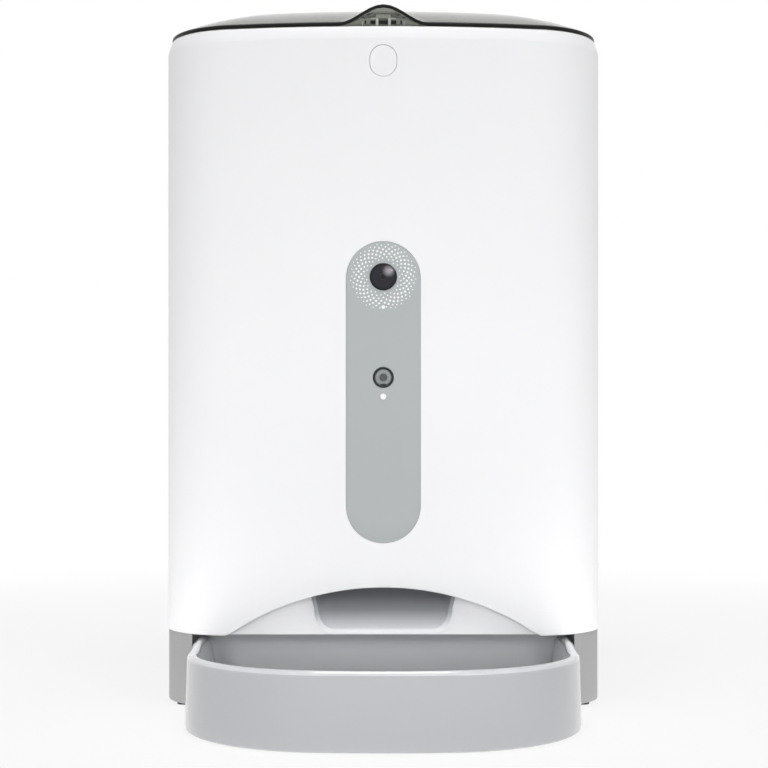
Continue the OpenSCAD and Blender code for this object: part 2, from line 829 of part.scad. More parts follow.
module hinge_pin() color("silver") centred() {
  hinge_bar(-end_knuckle_x1, end_knuckle_x1, pin_r);
}

module latch_button() color("white") centred() {
  stadium_y(button_z, button_w, button_h, front_y, button_back_y);
  flange_front = front_y + shell_wall + pass_gap;
  stadium_y(button_z, button_w + 2*button_flange, button_h + button_flange, flange_front, button_back_y);
}

module latch_slider() color("gainsboro") centred() {
  high = slider_low + slider_h;
  span([-slider_half, button_back_y, slider_low - slider_skirt],
       [slider_half, button_back_y + slider_t, high]);
  for (s = [-1, 1]) {
    x0 = s > 0 ? slider_half - slider_bar : -slider_half;
    span([x0, button_back_y, slider_low], [x0 + slider_bar, slider_rear, high]);
  }
  span([-slider_half, slider_rear - slider_t, slider_low], [slider_half, slider_rear, high]);
  nose_y = catch_y + catch_t + catch_lip + pass_gap;
  span([-nose_half, nose_y, slider_low + nose_z[0]], [nose_half, slider_rear, slider_low + nose_z[1]]);
}

// Spring wire swept along a helix on the Y axis
spring_n = spring_turns*spring_cuts;
function spring_point(i) =
  let(a = 360*spring_turns*i/spring_n, l = spring_y[1] - spring_y[0] - 2*spring_wire - 2*seat_gap,
      y = spring_y[0] + seat_gap + spring_wire + l*i/spring_n)
  [spring_r*cos(a), y, slider_low + slider_h/2 + spring_r*sin(a)];
function spring_ring(i) =
  let(a = 360*spring_turns*i/spring_n, c = spring_point(i), turn = 360/spring_sides)
  [for (k = [0:spring_sides - 1])
    c + spring_wire*(cos(turn*k)*[cos(a), 0, sin(a)] + sin(turn*k)*[0, 1, 0])];

module latch_spring() color("silver") centred() {
  n = spring_sides;
  last = n*spring_n;
  points = [for (i = [0:spring_n]) each spring_ring(i)];
  faces = concat(
    [for (i = [0:spring_n - 1], k = [0:n - 1]) each
      [[n*i + k, n*i + (k + 1)%n, n*i + n + k], [n*i + (k + 1)%n, n*i + n + (k + 1)%n, n*i + n + k]]],
    [for (k = [1:n - 2]) [0, k + 1, k]],
    [for (k = [1:n - 2]) [last, last + k, last + k + 1]]);
  polyhedron(points, faces);
}

module hopper() color("whitesmoke") centred() difference() {
  guide_front = button_back_y + slider_t + button_travel + guide_gap;
  guide_low = slider_low - slider_skirt;
  union() {
    block(body, rim_t + seat_gap, seat_z, seat_z + flange_t);
    block(hopper_plan, 0, funnel_z, seat_z + flange_t);
    funnel(0, hopper_low + joint_lap, chamber_r + bin_wall);
    rod_z(0, rotor_y, chamber_r + chamber_lip, hopper_low, hopper_low + flange_t);
    for (s = [-1, 1]) {
      x0 = s > 0 ? slot_half : -slot_half - guide_t;
      span([x0, guide_front, guide_low], [x0 + guide_t, slider_rear, seat_z + over]);
      lip0 = s > 0 ? slot_half - guide_lip : -slot_half - guide_t;
      span([lip0, guide_front, guide_low],
           [lip0 + guide_lip + guide_t, slider_rear, slider_low - pass_gap]);
    }
    stud_r = spring_r - spring_wire - seat_gap;
    rod_y(0, slider_low + slider_h/2, stud_r, spring_y[1] - stud_l, spring_y[1] + bin_wall);
  }
  block(hopper_plan, bin_wall, funnel_z, shell_top);
  funnel(bin_wall, hopper_low - over, chamber_r);
  span([-slot_half, slot_front, seat_z - over], [slot_half, slot_rear, shell_top]);
}

// Funnel between the hopper's outline and the rotor's chamber
module funnel(inset, low, r) {
  hull() {
    $fn = funnel_steps;
    translate([0, 0, funnel_z]) linear_extrude(joint_lap) outline(hopper_plan, inset + joint_step);
    rod_z(0, rotor_y, r, low, low + joint_lap);
  }
}

// A sector of a disc that opens to the front
module front_sector(a, r0, r1, z0, z1) {
  far = 2*r1;
  translate([0, rotor_y, z0]) linear_extrude(z1 - z0) intersection() {
    difference() {
      circle(r1);
      circle(r0);
    }
    polygon([[0, 0], [-far*sin(a), -far*cos(a)], [far*sin(a), -far*cos(a)]]);
  }
}

module baffle_plate() color("gainsboro") centred() {
  difference() {
    rod_z(0, rotor_y, chamber_r + chamber_lip, chamber_top, hopper_low);
    rod_z(0, rotor_y, chamber_r, chamber_top - over, hopper_low + over);
  }
  front_sector(outlet_angle + baffle_over, 2*shaft_r, chamber_r + over, chamber_top, hopper_low);
}

module agitator() color("gainsboro") centred() {
  difference() {
    rod_z(0, rotor_y, agitator_r, agitator_low, agitator_low + agitator_h);
    rod_z(0, rotor_y, shaft_r + run_gap, agitator_low - over, agitator_low + agitator_h - agitator_cap);
  }
  for (a = [0, 180]) translate([0, rotor_y, agitator_low + agitator_h/2]) rotate([0, 0, a])
    rotate([0, 90 - arm_lift, 0]) translate([0, 0, arm_root]) cylinder(arm_l, arm_r, arm_r);
}

module rotor() color("gainsboro") centred() {
  vane_root = (hub_r + shaft_r + run_gap)/2;
  translate([0, rotor_y, rotor_low]) linear_extrude(rotor_high - rotor_low) difference() {
    union() {
      circle(hub_r);
      for (i = [0:vanes - 1]) rotate(360*i/vanes)
        translate([vane_root, -vane_t/2]) square([rotor_r - vane_root, vane_t]);
    }
    circle(shaft_r + run_gap);
  }
}

module rotor_shaft() color("silver") centred() {
  top = agitator_low + agitator_h - agitator_cap - joint_lap;
  rod_z(0, rotor_y, shaft_r, plate_z - shaft_below, top);
}

module shaft_bushes() color("goldenrod") centred() {
  lip_r = bush_r + bush_lip_w;
  difference() {
    union() {
      rod_z(0, rotor_y, bush_r, floor_low - bush_lip_t, chamber_z + bush_proud);
      rod_z(0, rotor_y, lip_r, floor_low - bush_lip_t, floor_low);
    }
    rod_z(0, rotor_y, shaft_r + run_gap, floor_low - bush_lip_t - over, chamber_z + over);
  }
  difference() {
    union() {
      rod_z(0, rotor_y, bush_r, plate_z, plate_top + thrust_t);
      rod_z(0, rotor_y, lip_r, plate_top, plate_top + thrust_t);
    }
    rod_z(0, rotor_y, shaft_r + run_gap, plate_z - over, plate_top + thrust_t + over);
  }
}

module dispenser_housing() color("whitesmoke") centred() difference() {
  union() {
    rod_z(0, rotor_y, chamber_r + bin_wall, floor_low, chamber_top);
    rod_z(0, rotor_y, chamber_r + chamber_lip, chamber_top - flange_t, chamber_top);
    for (p = posts) rod_z(p[0], p[1], post_r, post_top, floor_low + over);
    for (p = pillars) rod_z(p[0], p[1], pillar_r, plate_top, floor_low + over);
    rod_z(0, idler_y, axle_r + axle_boss_w, floor_low - axle_boss_h, floor_low + over);
  }
  rod_z(0, rotor_y, chamber_r, chamber_z, chamber_top + over);
  rod_z(0, rotor_y, bush_r + run_gap, floor_low - over, chamber_z + over);
  front_sector(outlet_angle, outlet_r, chamber_r - 0.5, floor_low - over, chamber_z + over);
  rod_z(0, idler_y, axle_r + run_gap, floor_low - axle_boss_h - over, floor_low + over);
  for (p = posts) rod_z(p[0], p[1], screw_r + run_gap, post_top - over, post_top + post_bore);
  for (p = pillars) rod_z(p[0], p[1], plate_pilot_r, plate_top - over, plate_top + plate_pilot_l);
}

// Involute gear outline with stub teeth
function inv(a) = tan(a) - a*PI/180;
function flank(r, rb) = inv(acos(min(1, rb/max(r, rb))));
function tooth_half(teeth, r) =
  let(rp = gear_m*teeth/2, rb = rp*cos(pressure_angle))
  90/teeth - 90*backlash/(PI*rp) + (inv(pressure_angle) - flank(r, rb))*180/PI;
function tooth_point(teeth, i, r, side) =
  let(a = 360*i/teeth + side*tooth_half(teeth, r)) r*[cos(a), sin(a)];
module gear_outline(teeth) {
  rp = gear_m*teeth/2;
  root = rp - dedendum*gear_m;
  tip = rp + addendum*gear_m;
  start = max(root, rp*cos(pressure_angle)) + flank_step;
  radii = [root, start, (start + rp)/2, rp, (rp + tip)/2, tip];
  last = len(radii) - 1;
  polygon([for (i = [0:teeth - 1]) each concat(
    [for (k = [0:last]) tooth_point(teeth, i, radii[k], -1)],
    [for (k = [last:-1:0]) tooth_point(teeth, i, radii[k], 1)])]);
}

module gear(teeth, y, low, high, turn) {
  translate([0, y, low]) rotate([0, 0, turn]) linear_extrude(high - low) gear_outline(teeth);
}

module rotor_gear() color("white") centred() difference() {
  union() {
    gear(rotor_teeth, rotor_y, upper_gear_z, upper_gear_z + gear_w, 90);
    rod_z(0, rotor_y, bush_r + over, plate_top + thrust_t + pass_gap, upper_gear_z + over);
  }
  rod_z(0, rotor_y, shaft_r + run_gap, plate_top, upper_gear_z + gear_w + over);
}

module idler_gear() color("white") centred() difference() {
  union() {
    gear(idler_large, idler_y, lower_gear_z, lower_gear_z + gear_w, 90);
    idler_top = upper_gear_z + gear_w + gear_step;
    gear(idler_small, idler_y, lower_gear_z + gear_w, idler_top, -90 + 180/idler_small);
  }
  rod_z(0, idler_y, axle_r + run_gap, lower_gear_z - over, upper_gear_z + gear_w + gear_step + over);
}

module idler_axle() color("silver") centred() {
  rod_z(0, idler_y, axle_r, plate_z, floor_low + joint_lap);
}

module motor_pinion() color("goldenrod") centred() difference() {
  gear(pinion_teeth, motor_y, lower_gear_z, lower_gear_z + gear_w, -90 + 180/pinion_teeth);
  rod_z(0, motor_y, motor_shaft_r + run_gap, lower_gear_z - over, lower_gear_z + gear_w + over);
}

module motor_shaft() color("silver") centred() {
  rod_z(0, motor_y, motor_shaft_r, plate_z - motor_shaft_in, lower_gear_z + gear_w + joint_lap);
}

module motor() color("lightgray") centred() difference() {
  union() {
    rod_z(0, motor_y, motor_d/2, motor_low, plate_z);
    rod_z(0, motor_y, motor_nose_r, plate_z - over, plate_z + motor_nose_h);
    rod_z(0, motor_y, motor_tail_r, motor_low - motor_nose_h, motor_low + over);
  }
  rod_z(0, motor_y, motor_shaft_r + run_gap, plate_z - motor_shaft_in - joint_lap, plate_top + over);
}

module gear_plate() color("gainsboro") centred() difference() {
  span([-plate_half, plate_front, plate_z], [plate_half, plate_rear, plate_top]);
  rod_z(0, rotor_y, bush_r + run_gap, plate_z - over, plate_top + over);
  rod_z(0, idler_y, axle_r + run_gap, plate_z - over, plate_top + over);
  rod_z(0, motor_y, motor_nose_r + seat_gap, plate_z - over, plate_top + over);
  for (p = pillars) rod_z(p[0], p[1], plate_hole_r, plate_z - over, plate_top + over);
}

module gear_plate_screws() color("silver") centred() {
  for (p = pillars) screw_up(p, plate_z, plate_t + plate_screw_in, plate_screw_r);
}

// Cross-section of the chute: a U that widens upwards
module mouth_profile(grow) {
  top = mouth_top + grow;
  low = mouth_low + grow;
  r = mouth_corner + grow;
  polygon([[-top, mouth_tall], [-top, mouth_h], [-low, mouth_corner], [r - low, -grow],
           [low - r, -grow], [low, mouth_corner], [top, mouth_h], [top, mouth_tall]]);
  for (s = [-1, 1]) translate([s*(low - r), mouth_corner]) circle(r);
}

// The chute's channel, sloping down to the lip
module channel(grow) {
  run = body_d/2;
  translate([0, lip_y, lip_z]) rotate([90 + chute_slope, 0, 0]) translate([0, 0, -run])
    linear_extrude(run + channel_out) mouth_profile(grow);
}

module chute() color("whitesmoke") centred() {
  half = mouth_top + chute_t;
  inner = mouth_top + chute_t/2;
  cover_t = 2*chute_t;
  side = [[lip_y, base_h], [lip_y, cover_z], [cover_y, chute_high_z],
          [chute_back_y, chute_high_z], [chute_back_y, base_h]];
  intersection() {
    difference() {
      channel(chute_t);
      channel(0);
    }
    translate([-half - over, 0, 0]) rotate([90, 0, 90]) linear_extrude(2*half + 2*over) polygon(side);
  }
  cover = [[lip_y, cover_z], [cover_y, chute_high_z],
           [cover_y + cover_t, chute_high_z], [lip_y + cover_t, cover_z]];
  translate([-inner, 0, 0]) rotate([90, 0, 90]) linear_extrude(2*inner) polygon(cover);
  back_low = lip_z + (chute_back_y - lip_y)*tan(chute_slope);
  span([-inner, chute_back_y - chute_t, back_low - chute_t], [inner, chute_back_y, chute_high_z]);
}

module outlet_panel() color("gainsboro") centred() intersection() {
  block(body, shell_wall + seat_gap, base_h, base_h + outlet_panel_h);
  difference() {
    translate([0, panel_front, base_h]) rotate([-outlet_lean, 0, 0])
      span([-body_w/2, 0, -outlet_spare], [body_w/2, outlet_panel_t, outlet_panel_h + outlet_spare]);
    channel(chute_t + seat_gap);
  }
}

module base_tub() color("darkgray") centred() difference() {
  side = dock_half + base_wall;
  rear = dock_rear + base_wall;
  bay_side = bay_half + bay_wall;
  union() {
    difference() {
      block(body, base_step, foot_gap, base_h);
      block(body, base_step + base_wall, base_top_floor, base_h + over);
    }
    intersection() {
      block(body, base_step, foot_gap, base_h);
      span([-side, front_y - over, foot_gap], [side, rear, base_h]);
    }
    intersection() {
      block(body, shell_wall + seat_gap, base_h - over, base_h + deck_t);
      span([-side, deck_front, base_h - over], [side, rear, base_h + deck_t]);
    }
    difference() {
      block(body, shell_wall + seat_gap, base_h - tongue_h, base_h + tongue_h);
      block(body, shell_wall + seat_gap + tongue_t, base_h - tongue_h - over, base_h + tongue_h + over);
      span([-body_w, front_y - over, 0], [body_w, dock_rear, base_h + tongue_h + over]);
      for (b = bosses) rod_z(b[0], b[1], boss_r + seat_gap, base_h, base_h + tongue_h + over);
    }
    for (b = bosses) rod_z(b[0], b[1], boss_r, foot_gap, base_h);
    for (p = posts) rod_z(p[0], p[1], post_r, foot_gap, post_top);
    span([-bay_side, bay_front - bay_wall, foot_gap], [bay_side, bay_rear + bay_wall, bay_top + bay_wall]);
    rod_z(0, door_screw_y, boss_r, foot_gap, base_top_floor + door_boss_h);
  }
  span([-dock_half, front_y - over, 0], [dock_half, dock_rear, base_h]);
  span([-bay_half, bay_front, 0], [bay_half, bay_rear, bay_top]);
  door_cut(0);
  rod_z(0, door_screw_y, door_pilot_r, 0, base_top_floor + door_screw_l);
  for (b = bosses) {
    rod_z(b[0], b[1], screw_r + run_gap, 0, base_h + over);
    rod_z(b[0], b[1], screw_head_r + seat_gap, 0, case_head_z);
  }
  for (p = posts) {
    rod_z(p[0], p[1], screw_r + run_gap, 0, post_top + over);
    rod_z(p[0], p[1], screw_head_r + seat_gap, 0, post_top - post_web);
  }
  rod_y(jack_x, jack_z, jack_r + seat_gap, rear_y - 2*base_wall, rear_y + over);
  for (f = feet_at) rod_z(f[0], f[1], foot_d/2 + seat_gap, 0, foot_gap + foot_sink);
}

// The opening that the battery door fills, drawn in by gap
module door_cut(gap) {
  low = gap > 0 ? foot_gap : 0;
  side = bay_half + door_lip - gap;
  tab = door_tab/2 - gap;
  span([-side, bay_front - door_lip + gap, low], [side, bay_rear + door_lip - gap, base_top_floor]);
  span([-tab, bay_front - door_tab + gap, low], [tab, bay_front + over, base_top_floor]);
}

module case_screws() color("silver") centred() {
  for (b = bosses) screw_up(b, case_head_z, base_h + case_screw_in - case_head_z);
}

module housing_screws() color("silver") centred() {
  for (p = posts) screw_up(p, post_top - post_web, post_web + post_screw_in);
}

module battery_door() color("darkgray") centred() difference() {
  door_cut(seat_gap);
  rod_z(0, door_screw_y, screw_r + run_gap, 0, base_top_floor + over);
  rod_z(0, door_screw_y, screw_head_r + seat_gap, 0, foot_gap + door_head_in);
}

module battery_door_screw() color("silver") centred() {
  screw_up([0, door_screw_y], foot_gap + door_head_in, door_screw_l, door_screw_r);
}

module battery_cells() color("slategray") centred() {
  y0 = bay_front + contact_t + seat_gap;
  for (i = [-1:1]) {
    rod_y(i*cell_pitch, cell_z, cell_d/2, y0 + cell_nub_h, y0 + cell_l);
    rod_y(i*cell_pitch, cell_z, cell_nub_r, y0, y0 + cell_nub_h + joint_lap);
  }
}

module battery_contacts() color("gold") centred() {
  y1 = bay_front + contact_t + seat_gap + cell_l;
  for (i = [-1:1]) {
    rod_y(i*cell_pitch, cell_z, contact_r[0], bay_front, bay_front + contact_t);
    rod_y(i*cell_pitch, cell_z, contact_r[1], y1 + seat_gap, bay_rear);
  }
}

module dc_jack() color("black") centred() difference() {
  inner = rear_y - base_step - base_wall;
  back = inner - jack_back;
  union() {
    span([jack_x - jack_half, back - jack_l, jack_z - jack_tall],
         [jack_x + jack_half, back, jack_z + jack_tall]);
    rod_y(jack_x, jack_z, jack_r, back - over, rear_y - base_step);
  }
  difference() {
    rod_y(jack_x, jack_z, plug_r, inner - plug_l, rear_y + over);
    rod_y(jack_x, jack_z, plug_pin_r, inner - plug_l - over, rear_y - plug_pin_in);
  }
}

module speaker() color("dimgray") centred() {
  inner = rear_y - shell_wall;
  rod_y(speaker_x, speaker_z, speaker_r, inner - speaker_rim_t, inner - pass_gap);
  rod_y(speaker_x, speaker_z, speaker_r - speaker_rim_w, inner - speaker_t, inner - speaker_rim_t + over);
}

module feet() color("black") centred() {
  for (f = feet_at) rod_z(f[0], f[1], foot_d/2, 0, foot_gap + foot_sink);
}

module bowl() color("lightgray") centred() difference() {
  rim_in = bowl_draft + bowl_rim_w;
  tapered(bowl_plan, 0, bowl_draft, 0, bowl_h);
  tapered(bowl_plan, rim_in + bowl_flank, rim_in, bowl_wall, bowl_h - bowl_wall);
}

outer_shell();
top_frame();
front_panel();
camera_window();
camera_barrel();
camera_board();
lamp_bezel();
infrared_lamp();
status_light();
recording_light();
main_board();
board_screws();
lid();
lid_seal();
lid_catch();
lid_hinge();
hinge_pin();
latch_button();
latch_slider();
latch_spring();
hopper();
baffle_plate();
agitator();
rotor();
rotor_shaft();
shaft_bushes();
dispenser_housing();
rotor_gear();
idler_gear();
idler_axle();
motor_pinion();
motor_shaft();
motor();
gear_plate();
gear_plate_screws();
chute();
outlet_panel();
base_tub();
case_screws();
housing_screws();
battery_door();
battery_door_screw();
battery_cells();
battery_contacts();
dc_jack();
speaker();
feet();
bowl();
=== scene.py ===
"""Automatic pet feeder with a camera: the looks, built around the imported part."""

import json
import math
from collections import namedtuple

import bmesh
import bpy
from mathutils import Matrix, Vector


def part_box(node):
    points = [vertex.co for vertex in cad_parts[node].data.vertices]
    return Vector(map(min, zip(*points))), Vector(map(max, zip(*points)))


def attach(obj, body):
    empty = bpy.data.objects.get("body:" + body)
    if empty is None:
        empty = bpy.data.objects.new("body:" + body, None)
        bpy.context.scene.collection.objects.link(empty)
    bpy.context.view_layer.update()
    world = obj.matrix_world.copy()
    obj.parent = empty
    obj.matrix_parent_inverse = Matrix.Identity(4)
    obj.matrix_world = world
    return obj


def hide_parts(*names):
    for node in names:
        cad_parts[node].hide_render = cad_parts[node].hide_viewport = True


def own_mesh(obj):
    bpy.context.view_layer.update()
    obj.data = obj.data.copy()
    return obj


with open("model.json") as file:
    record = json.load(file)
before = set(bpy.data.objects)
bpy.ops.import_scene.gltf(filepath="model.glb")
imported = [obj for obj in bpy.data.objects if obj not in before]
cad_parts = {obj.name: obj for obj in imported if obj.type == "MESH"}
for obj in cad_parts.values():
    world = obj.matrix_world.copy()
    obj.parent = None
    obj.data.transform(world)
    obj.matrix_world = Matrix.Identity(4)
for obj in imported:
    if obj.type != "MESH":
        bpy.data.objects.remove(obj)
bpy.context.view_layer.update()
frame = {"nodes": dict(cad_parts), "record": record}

MM = 0.001
NODES = frame["nodes"]

# Sizes taken from the frame
SHELL_LOW, SHELL_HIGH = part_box("outer_shell")
FRONT = SHELL_LOW.y
REAR = SHELL_HIGH.y
HALF = SHELL_HIGH.x
SKIRT = SHELL_LOW.z
MID_Y = (FRONT + REAR) / 2
# The shell's rim stands this much above the bin's frame
RIM_LIFT = 0.4 * MM
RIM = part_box("top_frame")[1].z + RIM_LIFT
CAMERA_Z = sum(c.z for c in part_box("camera_window")) / 2
LAMP_Z = sum(c.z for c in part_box("lamp_bezel")) / 2

# Plans seen from above: half width, front, rear, front and rear corner radius, radius of the bowed front
Plan = namedtuple("Plan", "half front rear front_corner rear_corner bow")
CORNER = 39 * MM
BOW = 404 * MM
BODY = Plan(HALF, FRONT, REAR, CORNER, CORNER, BOW)
BOW_STEPS = 48
CORNER_STEPS = 14
SIDE_STEPS = 6

# Shell: its wall, the bevelled band round its top, and the ledge inside its rim
WALL = 2.6 * MM
BAND_H = 6.2 * MM
BAND_IN = 2.1 * MM
CREASE = RIM - BAND_H
RIM_T = 5 * MM
LEDGE_IN = 9 * MM
LEDGE_T = 3 * MM
LEDGE_DEPTH = 7.5 * MM
LEDGE_TOP = RIM - LEDGE_DEPTH
LEDGE_LOW = LEDGE_TOP - LEDGE_T
ARCH_HALF = 75 * MM
ARCH_H = 24 * MM
# The base stands this much inside the shell's outline
BASE_STEP = 0.4 * MM

# Points of a mesh nearer than this are one point
WELD = 0.001 * MM


# Colour and node helpers


def colour(code):
    """Linear RGBA from an sRGB hex code."""
    parts = [int(code[i:i + 2], 16) / 255 for i in (0, 2, 4)]
    return tuple(c / 12.92 if c <= 0.04045 else ((c + 0.055) / 1.055) ** 2.4 for c in parts) + (1,)


def toned(shade, factor):
    """A colour made lighter or darker by a factor."""
    return tuple(c * factor for c in shade[:3]) + (1,)


def add_node(tree, kind, inputs=None, **settings):
    """Adds one node, applies its settings, and sets or links its inputs."""
    node = tree.nodes.new(kind)
    for key, value in settings.items():
        setattr(node, key, value)
    for key, value in (inputs or {}).items():
        if isinstance(value, bpy.types.NodeSocket):
            tree.links.new(value, node.inputs[key])
        else:
            node.inputs[key].default_value = value
    return node


def new_material(name):
    """An empty node material and its tree."""
    material = bpy.data.materials.new(name)
    material.use_nodes = True
    material.node_tree.nodes.clear()
    return material, material.node_tree


def close_material(material, tree, shader):
    """Joins the shader to the material's output."""
    add_node(tree, "ShaderNodeOutputMaterial", {"Surface": shader.outputs[0]})
    return material


# Materials

# Sizes of the patterns in the surfaces. A mould's grain is nearer 0.05 mm and the marks on metal nearer
# 0.1 mm, and both are drawn coarser so that they show close up
GRAIN = 0.25 * MM
MARKS = 0.3 * MM
DRIFT = 45 * MM
RIPPLE = 30 * MM
MOTTLE = 1.2 * MM
TRACK = 8 * MM
# Sockets of a node that mixes colours, whose names it has more than once
MIX_SHARE, MIX_A, MIX_B, MIX_RESULT = 0, 6, 7, 2


def worn_by(tree, pattern, rough, strength, depth):
    """What a pattern does to a surface: roughness between two values, and a relief of some depth."""
    low, high = rough
    gloss = add_node(tree, "ShaderNodeMapRange", {"Value": pattern, "To Min": low, "To Max": high})
    bump = add_node(tree, "ShaderNodeBump", {"Height": pattern, "Strength": strength, "Distance": depth})
    return {"Roughness": gloss.outputs[0], "Normal": bump.outputs[0]}


def mould_grain(tree, place, rough, depth_mm=0.004):
    """The fine grain that a spark-eroded mould leaves on plastic."""
    grain = add_node(tree, "ShaderNodeTexNoise", {"Vector": place, "Scale": 1 / GRAIN, "Detail": 2.0})
    return {"IOR": 1.53, **worn_by(tree, grain.outputs[0], (rough - 0.03, rough + 0.03), 0.35, depth_mm * MM)}


def moulded(name, code, rough, depth_mm=0.004, tone=0.04, **finish):
    """Moulded plastic with a faint drift of tone over the part."""
    material, tree = new_material(name)
    base = colour(code)
    place = add_node(tree, "ShaderNodeTexCoord").outputs["Object"]
    drift = add_node(tree, "ShaderNodeTexNoise", {"Vector": place, "Scale": 1 / DRIFT, "Detail": 2.0})
    tint = add_node(tree, "ShaderNodeMix", {
        MIX_SHARE: drift.outputs[0], MIX_A: toned(base, 1 - tone), MIX_B: base}, data_type="RGBA")
    shader = add_node(tree, "ShaderNodeBsdfPrincipled", {
        "Base Color": tint.outputs[MIX_RESULT], **mould_grain(tree, place, rough, depth_mm), **finish})
    return close_material(material, tree, shader)


def turned_metal(name, code, rough):
    """Turned or drawn metal: its gloss breaks up in fine marks."""
    material, tree = new_material(name)
    place = add_node(tree, "ShaderNodeTexCoord").outputs["Object"]
    marks = add_node(tree, "ShaderNodeTexNoise", {"Vector": place, "Scale": 1 / MARKS, "Detail": 3.0})
    shader = add_node(tree, "ShaderNodeBsdfPrincipled", {
        "Base Color": colour(code), "Metallic": 1.0,
        **worn_by(tree, marks.outputs[0], (rough - 0.08, rough + 0.12), 0.2, 0.01 * MM)})
    return close_material(material, tree, shader)


def smoke_sheet(name, code, rough):
    """Smoke-tinted polycarbonate: clear enough to see the bin through, with slight ripples from moulding."""
    material, tree = new_material(name)
    place = add_node(tree, "ShaderNodeTexCoord").outputs["Object"]
    ripple = add_node(tree, "ShaderNodeTexNoise", {"Vector": place, "Scale": 1 / RIPPLE, "Detail": 1.0})
    shader = add_node(tree, "ShaderNodeBsdfPrincipled", {
        "Base Color": colour(code), "IOR": 1.58, "Transmission Weight": 0.8,
        **worn_by(tree, ripple.outputs[0], (rough, rough + 0.06), 0.15, 0.4 * MM)})
    return close_material(material, tree, shader)


def tones_along(tree, length, stops):
    """Colours over a length in metres, through stops of (mm, hex code)."""
    first, last = stops[0][0], stops[-1][0]
    share = add_node(tree, "ShaderNodeMapRange", {
        "Value": length, "From Min": first * MM, "From Max": last * MM})
    ramp = add_node(tree, "ShaderNodeValToRGB", {"Fac": share.outputs[0]})
    marks = ramp.color_ramp.elements
    for _ in stops[2:]:
        marks.new(1)
    for mark, (place, code) in zip(marks, stops):
        mark.position = (place - first) / (last - first)
        mark.color = colour(code)
    return ramp.outputs[0]


def shaded_by_height(name, stops, rough):
    """Moulded plastic with painted shade, darker higher up and lighter lower down: stops of (height in mm,
    hex code).
    """
    material, tree = new_material(name)
    place = add_node(tree, "ShaderNodeTexCoord").outputs["Object"]
    height = add_node(tree, "ShaderNodeSeparateXYZ", {0: place})
    shader = add_node(tree, "ShaderNodeBsdfPrincipled", {
        "Base Color": tones_along(tree, height.outputs["Z"], stops), **mould_grain(tree, place, rough)})
    return close_material(material, tree, shader)


def from_axis(tree, place, x, z):
    """The place on the front, measured from an axis along Y through x and z, and its distance from it."""
    face = add_node(tree, "ShaderNodeMapping", {
        "Vector": place, "Location": (-x, 0, -z), "Scale": (1, 0, 1)})
    away = add_node(tree, "ShaderNodeVectorMath", {0: face.outputs[0]}, operation="LENGTH")
    return face.outputs[0], away.outputs["Value"]


def ringed(name, z, stops, rough, painted_highlight=None, **finish):
    """Clear part over something round, coloured through stops of (mm from the axis at height z, hex code).

    A painted highlight, as mm to the right, mm up, radius in mm and hex code, lightens the colour in a soft
    round spot.
    """
    material, tree = new_material(name)
    place = add_node(tree, "ShaderNodeTexCoord").outputs["Object"]
    face, away = from_axis(tree, place, 0, z)
    shade = tones_along(tree, away, stops)
    # Painted highlight: a soft spot of lighter colour mixed into the window
    if painted_highlight:
        right, up, reach, code = painted_highlight
        _, away = from_axis(tree, place, right * MM, z + up * MM)
        share = add_node(tree, "ShaderNodeMapRange", {
            "Value": away, "From Max": reach * MM, "To Min": 1, "To Max": 0}, interpolation_type="SMOOTHSTEP")
        tint = add_node(tree, "ShaderNodeMix", {
            MIX_SHARE: share.outputs[0], MIX_A: shade, MIX_B: colour(code)}, data_type="RGBA")
        shade = tint.outputs[MIX_RESULT]
    mottle = add_node(tree, "ShaderNodeTexNoise", {"Vector": face, "Scale": 1 / MOTTLE, "Detail": 2.0})
    gloss = add_node(tree, "ShaderNodeMapRange", {
        "Value": mottle.outputs[0], "To Min": rough * 0.7, "To Max": rough * 1.3})
    shader = add_node(tree, "ShaderNodeBsdfPrincipled", {
        "Base Color": shade, "Roughness": gloss.outputs[0], "IOR": 1.5, **finish})
    return close_material(material, tree, shader)


def printed_board(name, code):
    """Glass-fibre board: green solder mask over a grid of copper tracks that shows as a lighter weave."""
    material, tree = new_material(name)
    base = colour(code)
    place = add_node(tree, "ShaderNodeTexCoord").outputs["Object"]
    tracks = add_node(tree, "ShaderNodeTexBrick", {
        "Vector": place, "Scale": 1 / TRACK, "Mortar Size": 0.03,
        "Color1": base, "Color2": toned(base, 0.8), "Mortar": toned(base, 1.7)})
    bump = add_node(tree, "ShaderNodeBump", {
        "Height": tracks.outputs["Fac"], "Strength": 0.3, "Distance": 0.05 * MM})
    shader = add_node(tree, "ShaderNodeBsdfPrincipled", {
        "Base Color": tracks.outputs["Color"], "Normal": bump.outputs[0], "Roughness": 0.35,
        "Coat Weight": 0.3})
    return close_material(material, tree, shader)


# Colours from the axis outwards: the pupil and rings under the camera's window, fading to near black at its
# edge as painted shade, and the lamp in its reflector
LENS_STOPS = [(0, "0C0D10"), (1.3, "15161B"), (1.6, "34353B"), (1.9, "1B1C22"), (4.4, "22232A"),
              (6.5, "050506")]
LAMP_STOPS = [(0, "4A4B4C"), (1.35, "55575A"), (1.6, "3C3D3F"), (1.9, "8C8E90"), (3.3, "9A9C9E"),
              (4, "55575A")]
# A painted highlight in the window: mm right of and above the middle, radius in mm, and tone
LENS_PAINTED_HIGHLIGHT = (2.6, 2.8, 3.6, "A29DA3")
# The chute's painted shade from its mouth upwards: its tone by height
CHUTE_SHADE_STOPS = [(38, "FAFAFC"), (42, "E0E1E4"), (47, "A8A9AD"), (53, "88898E")]

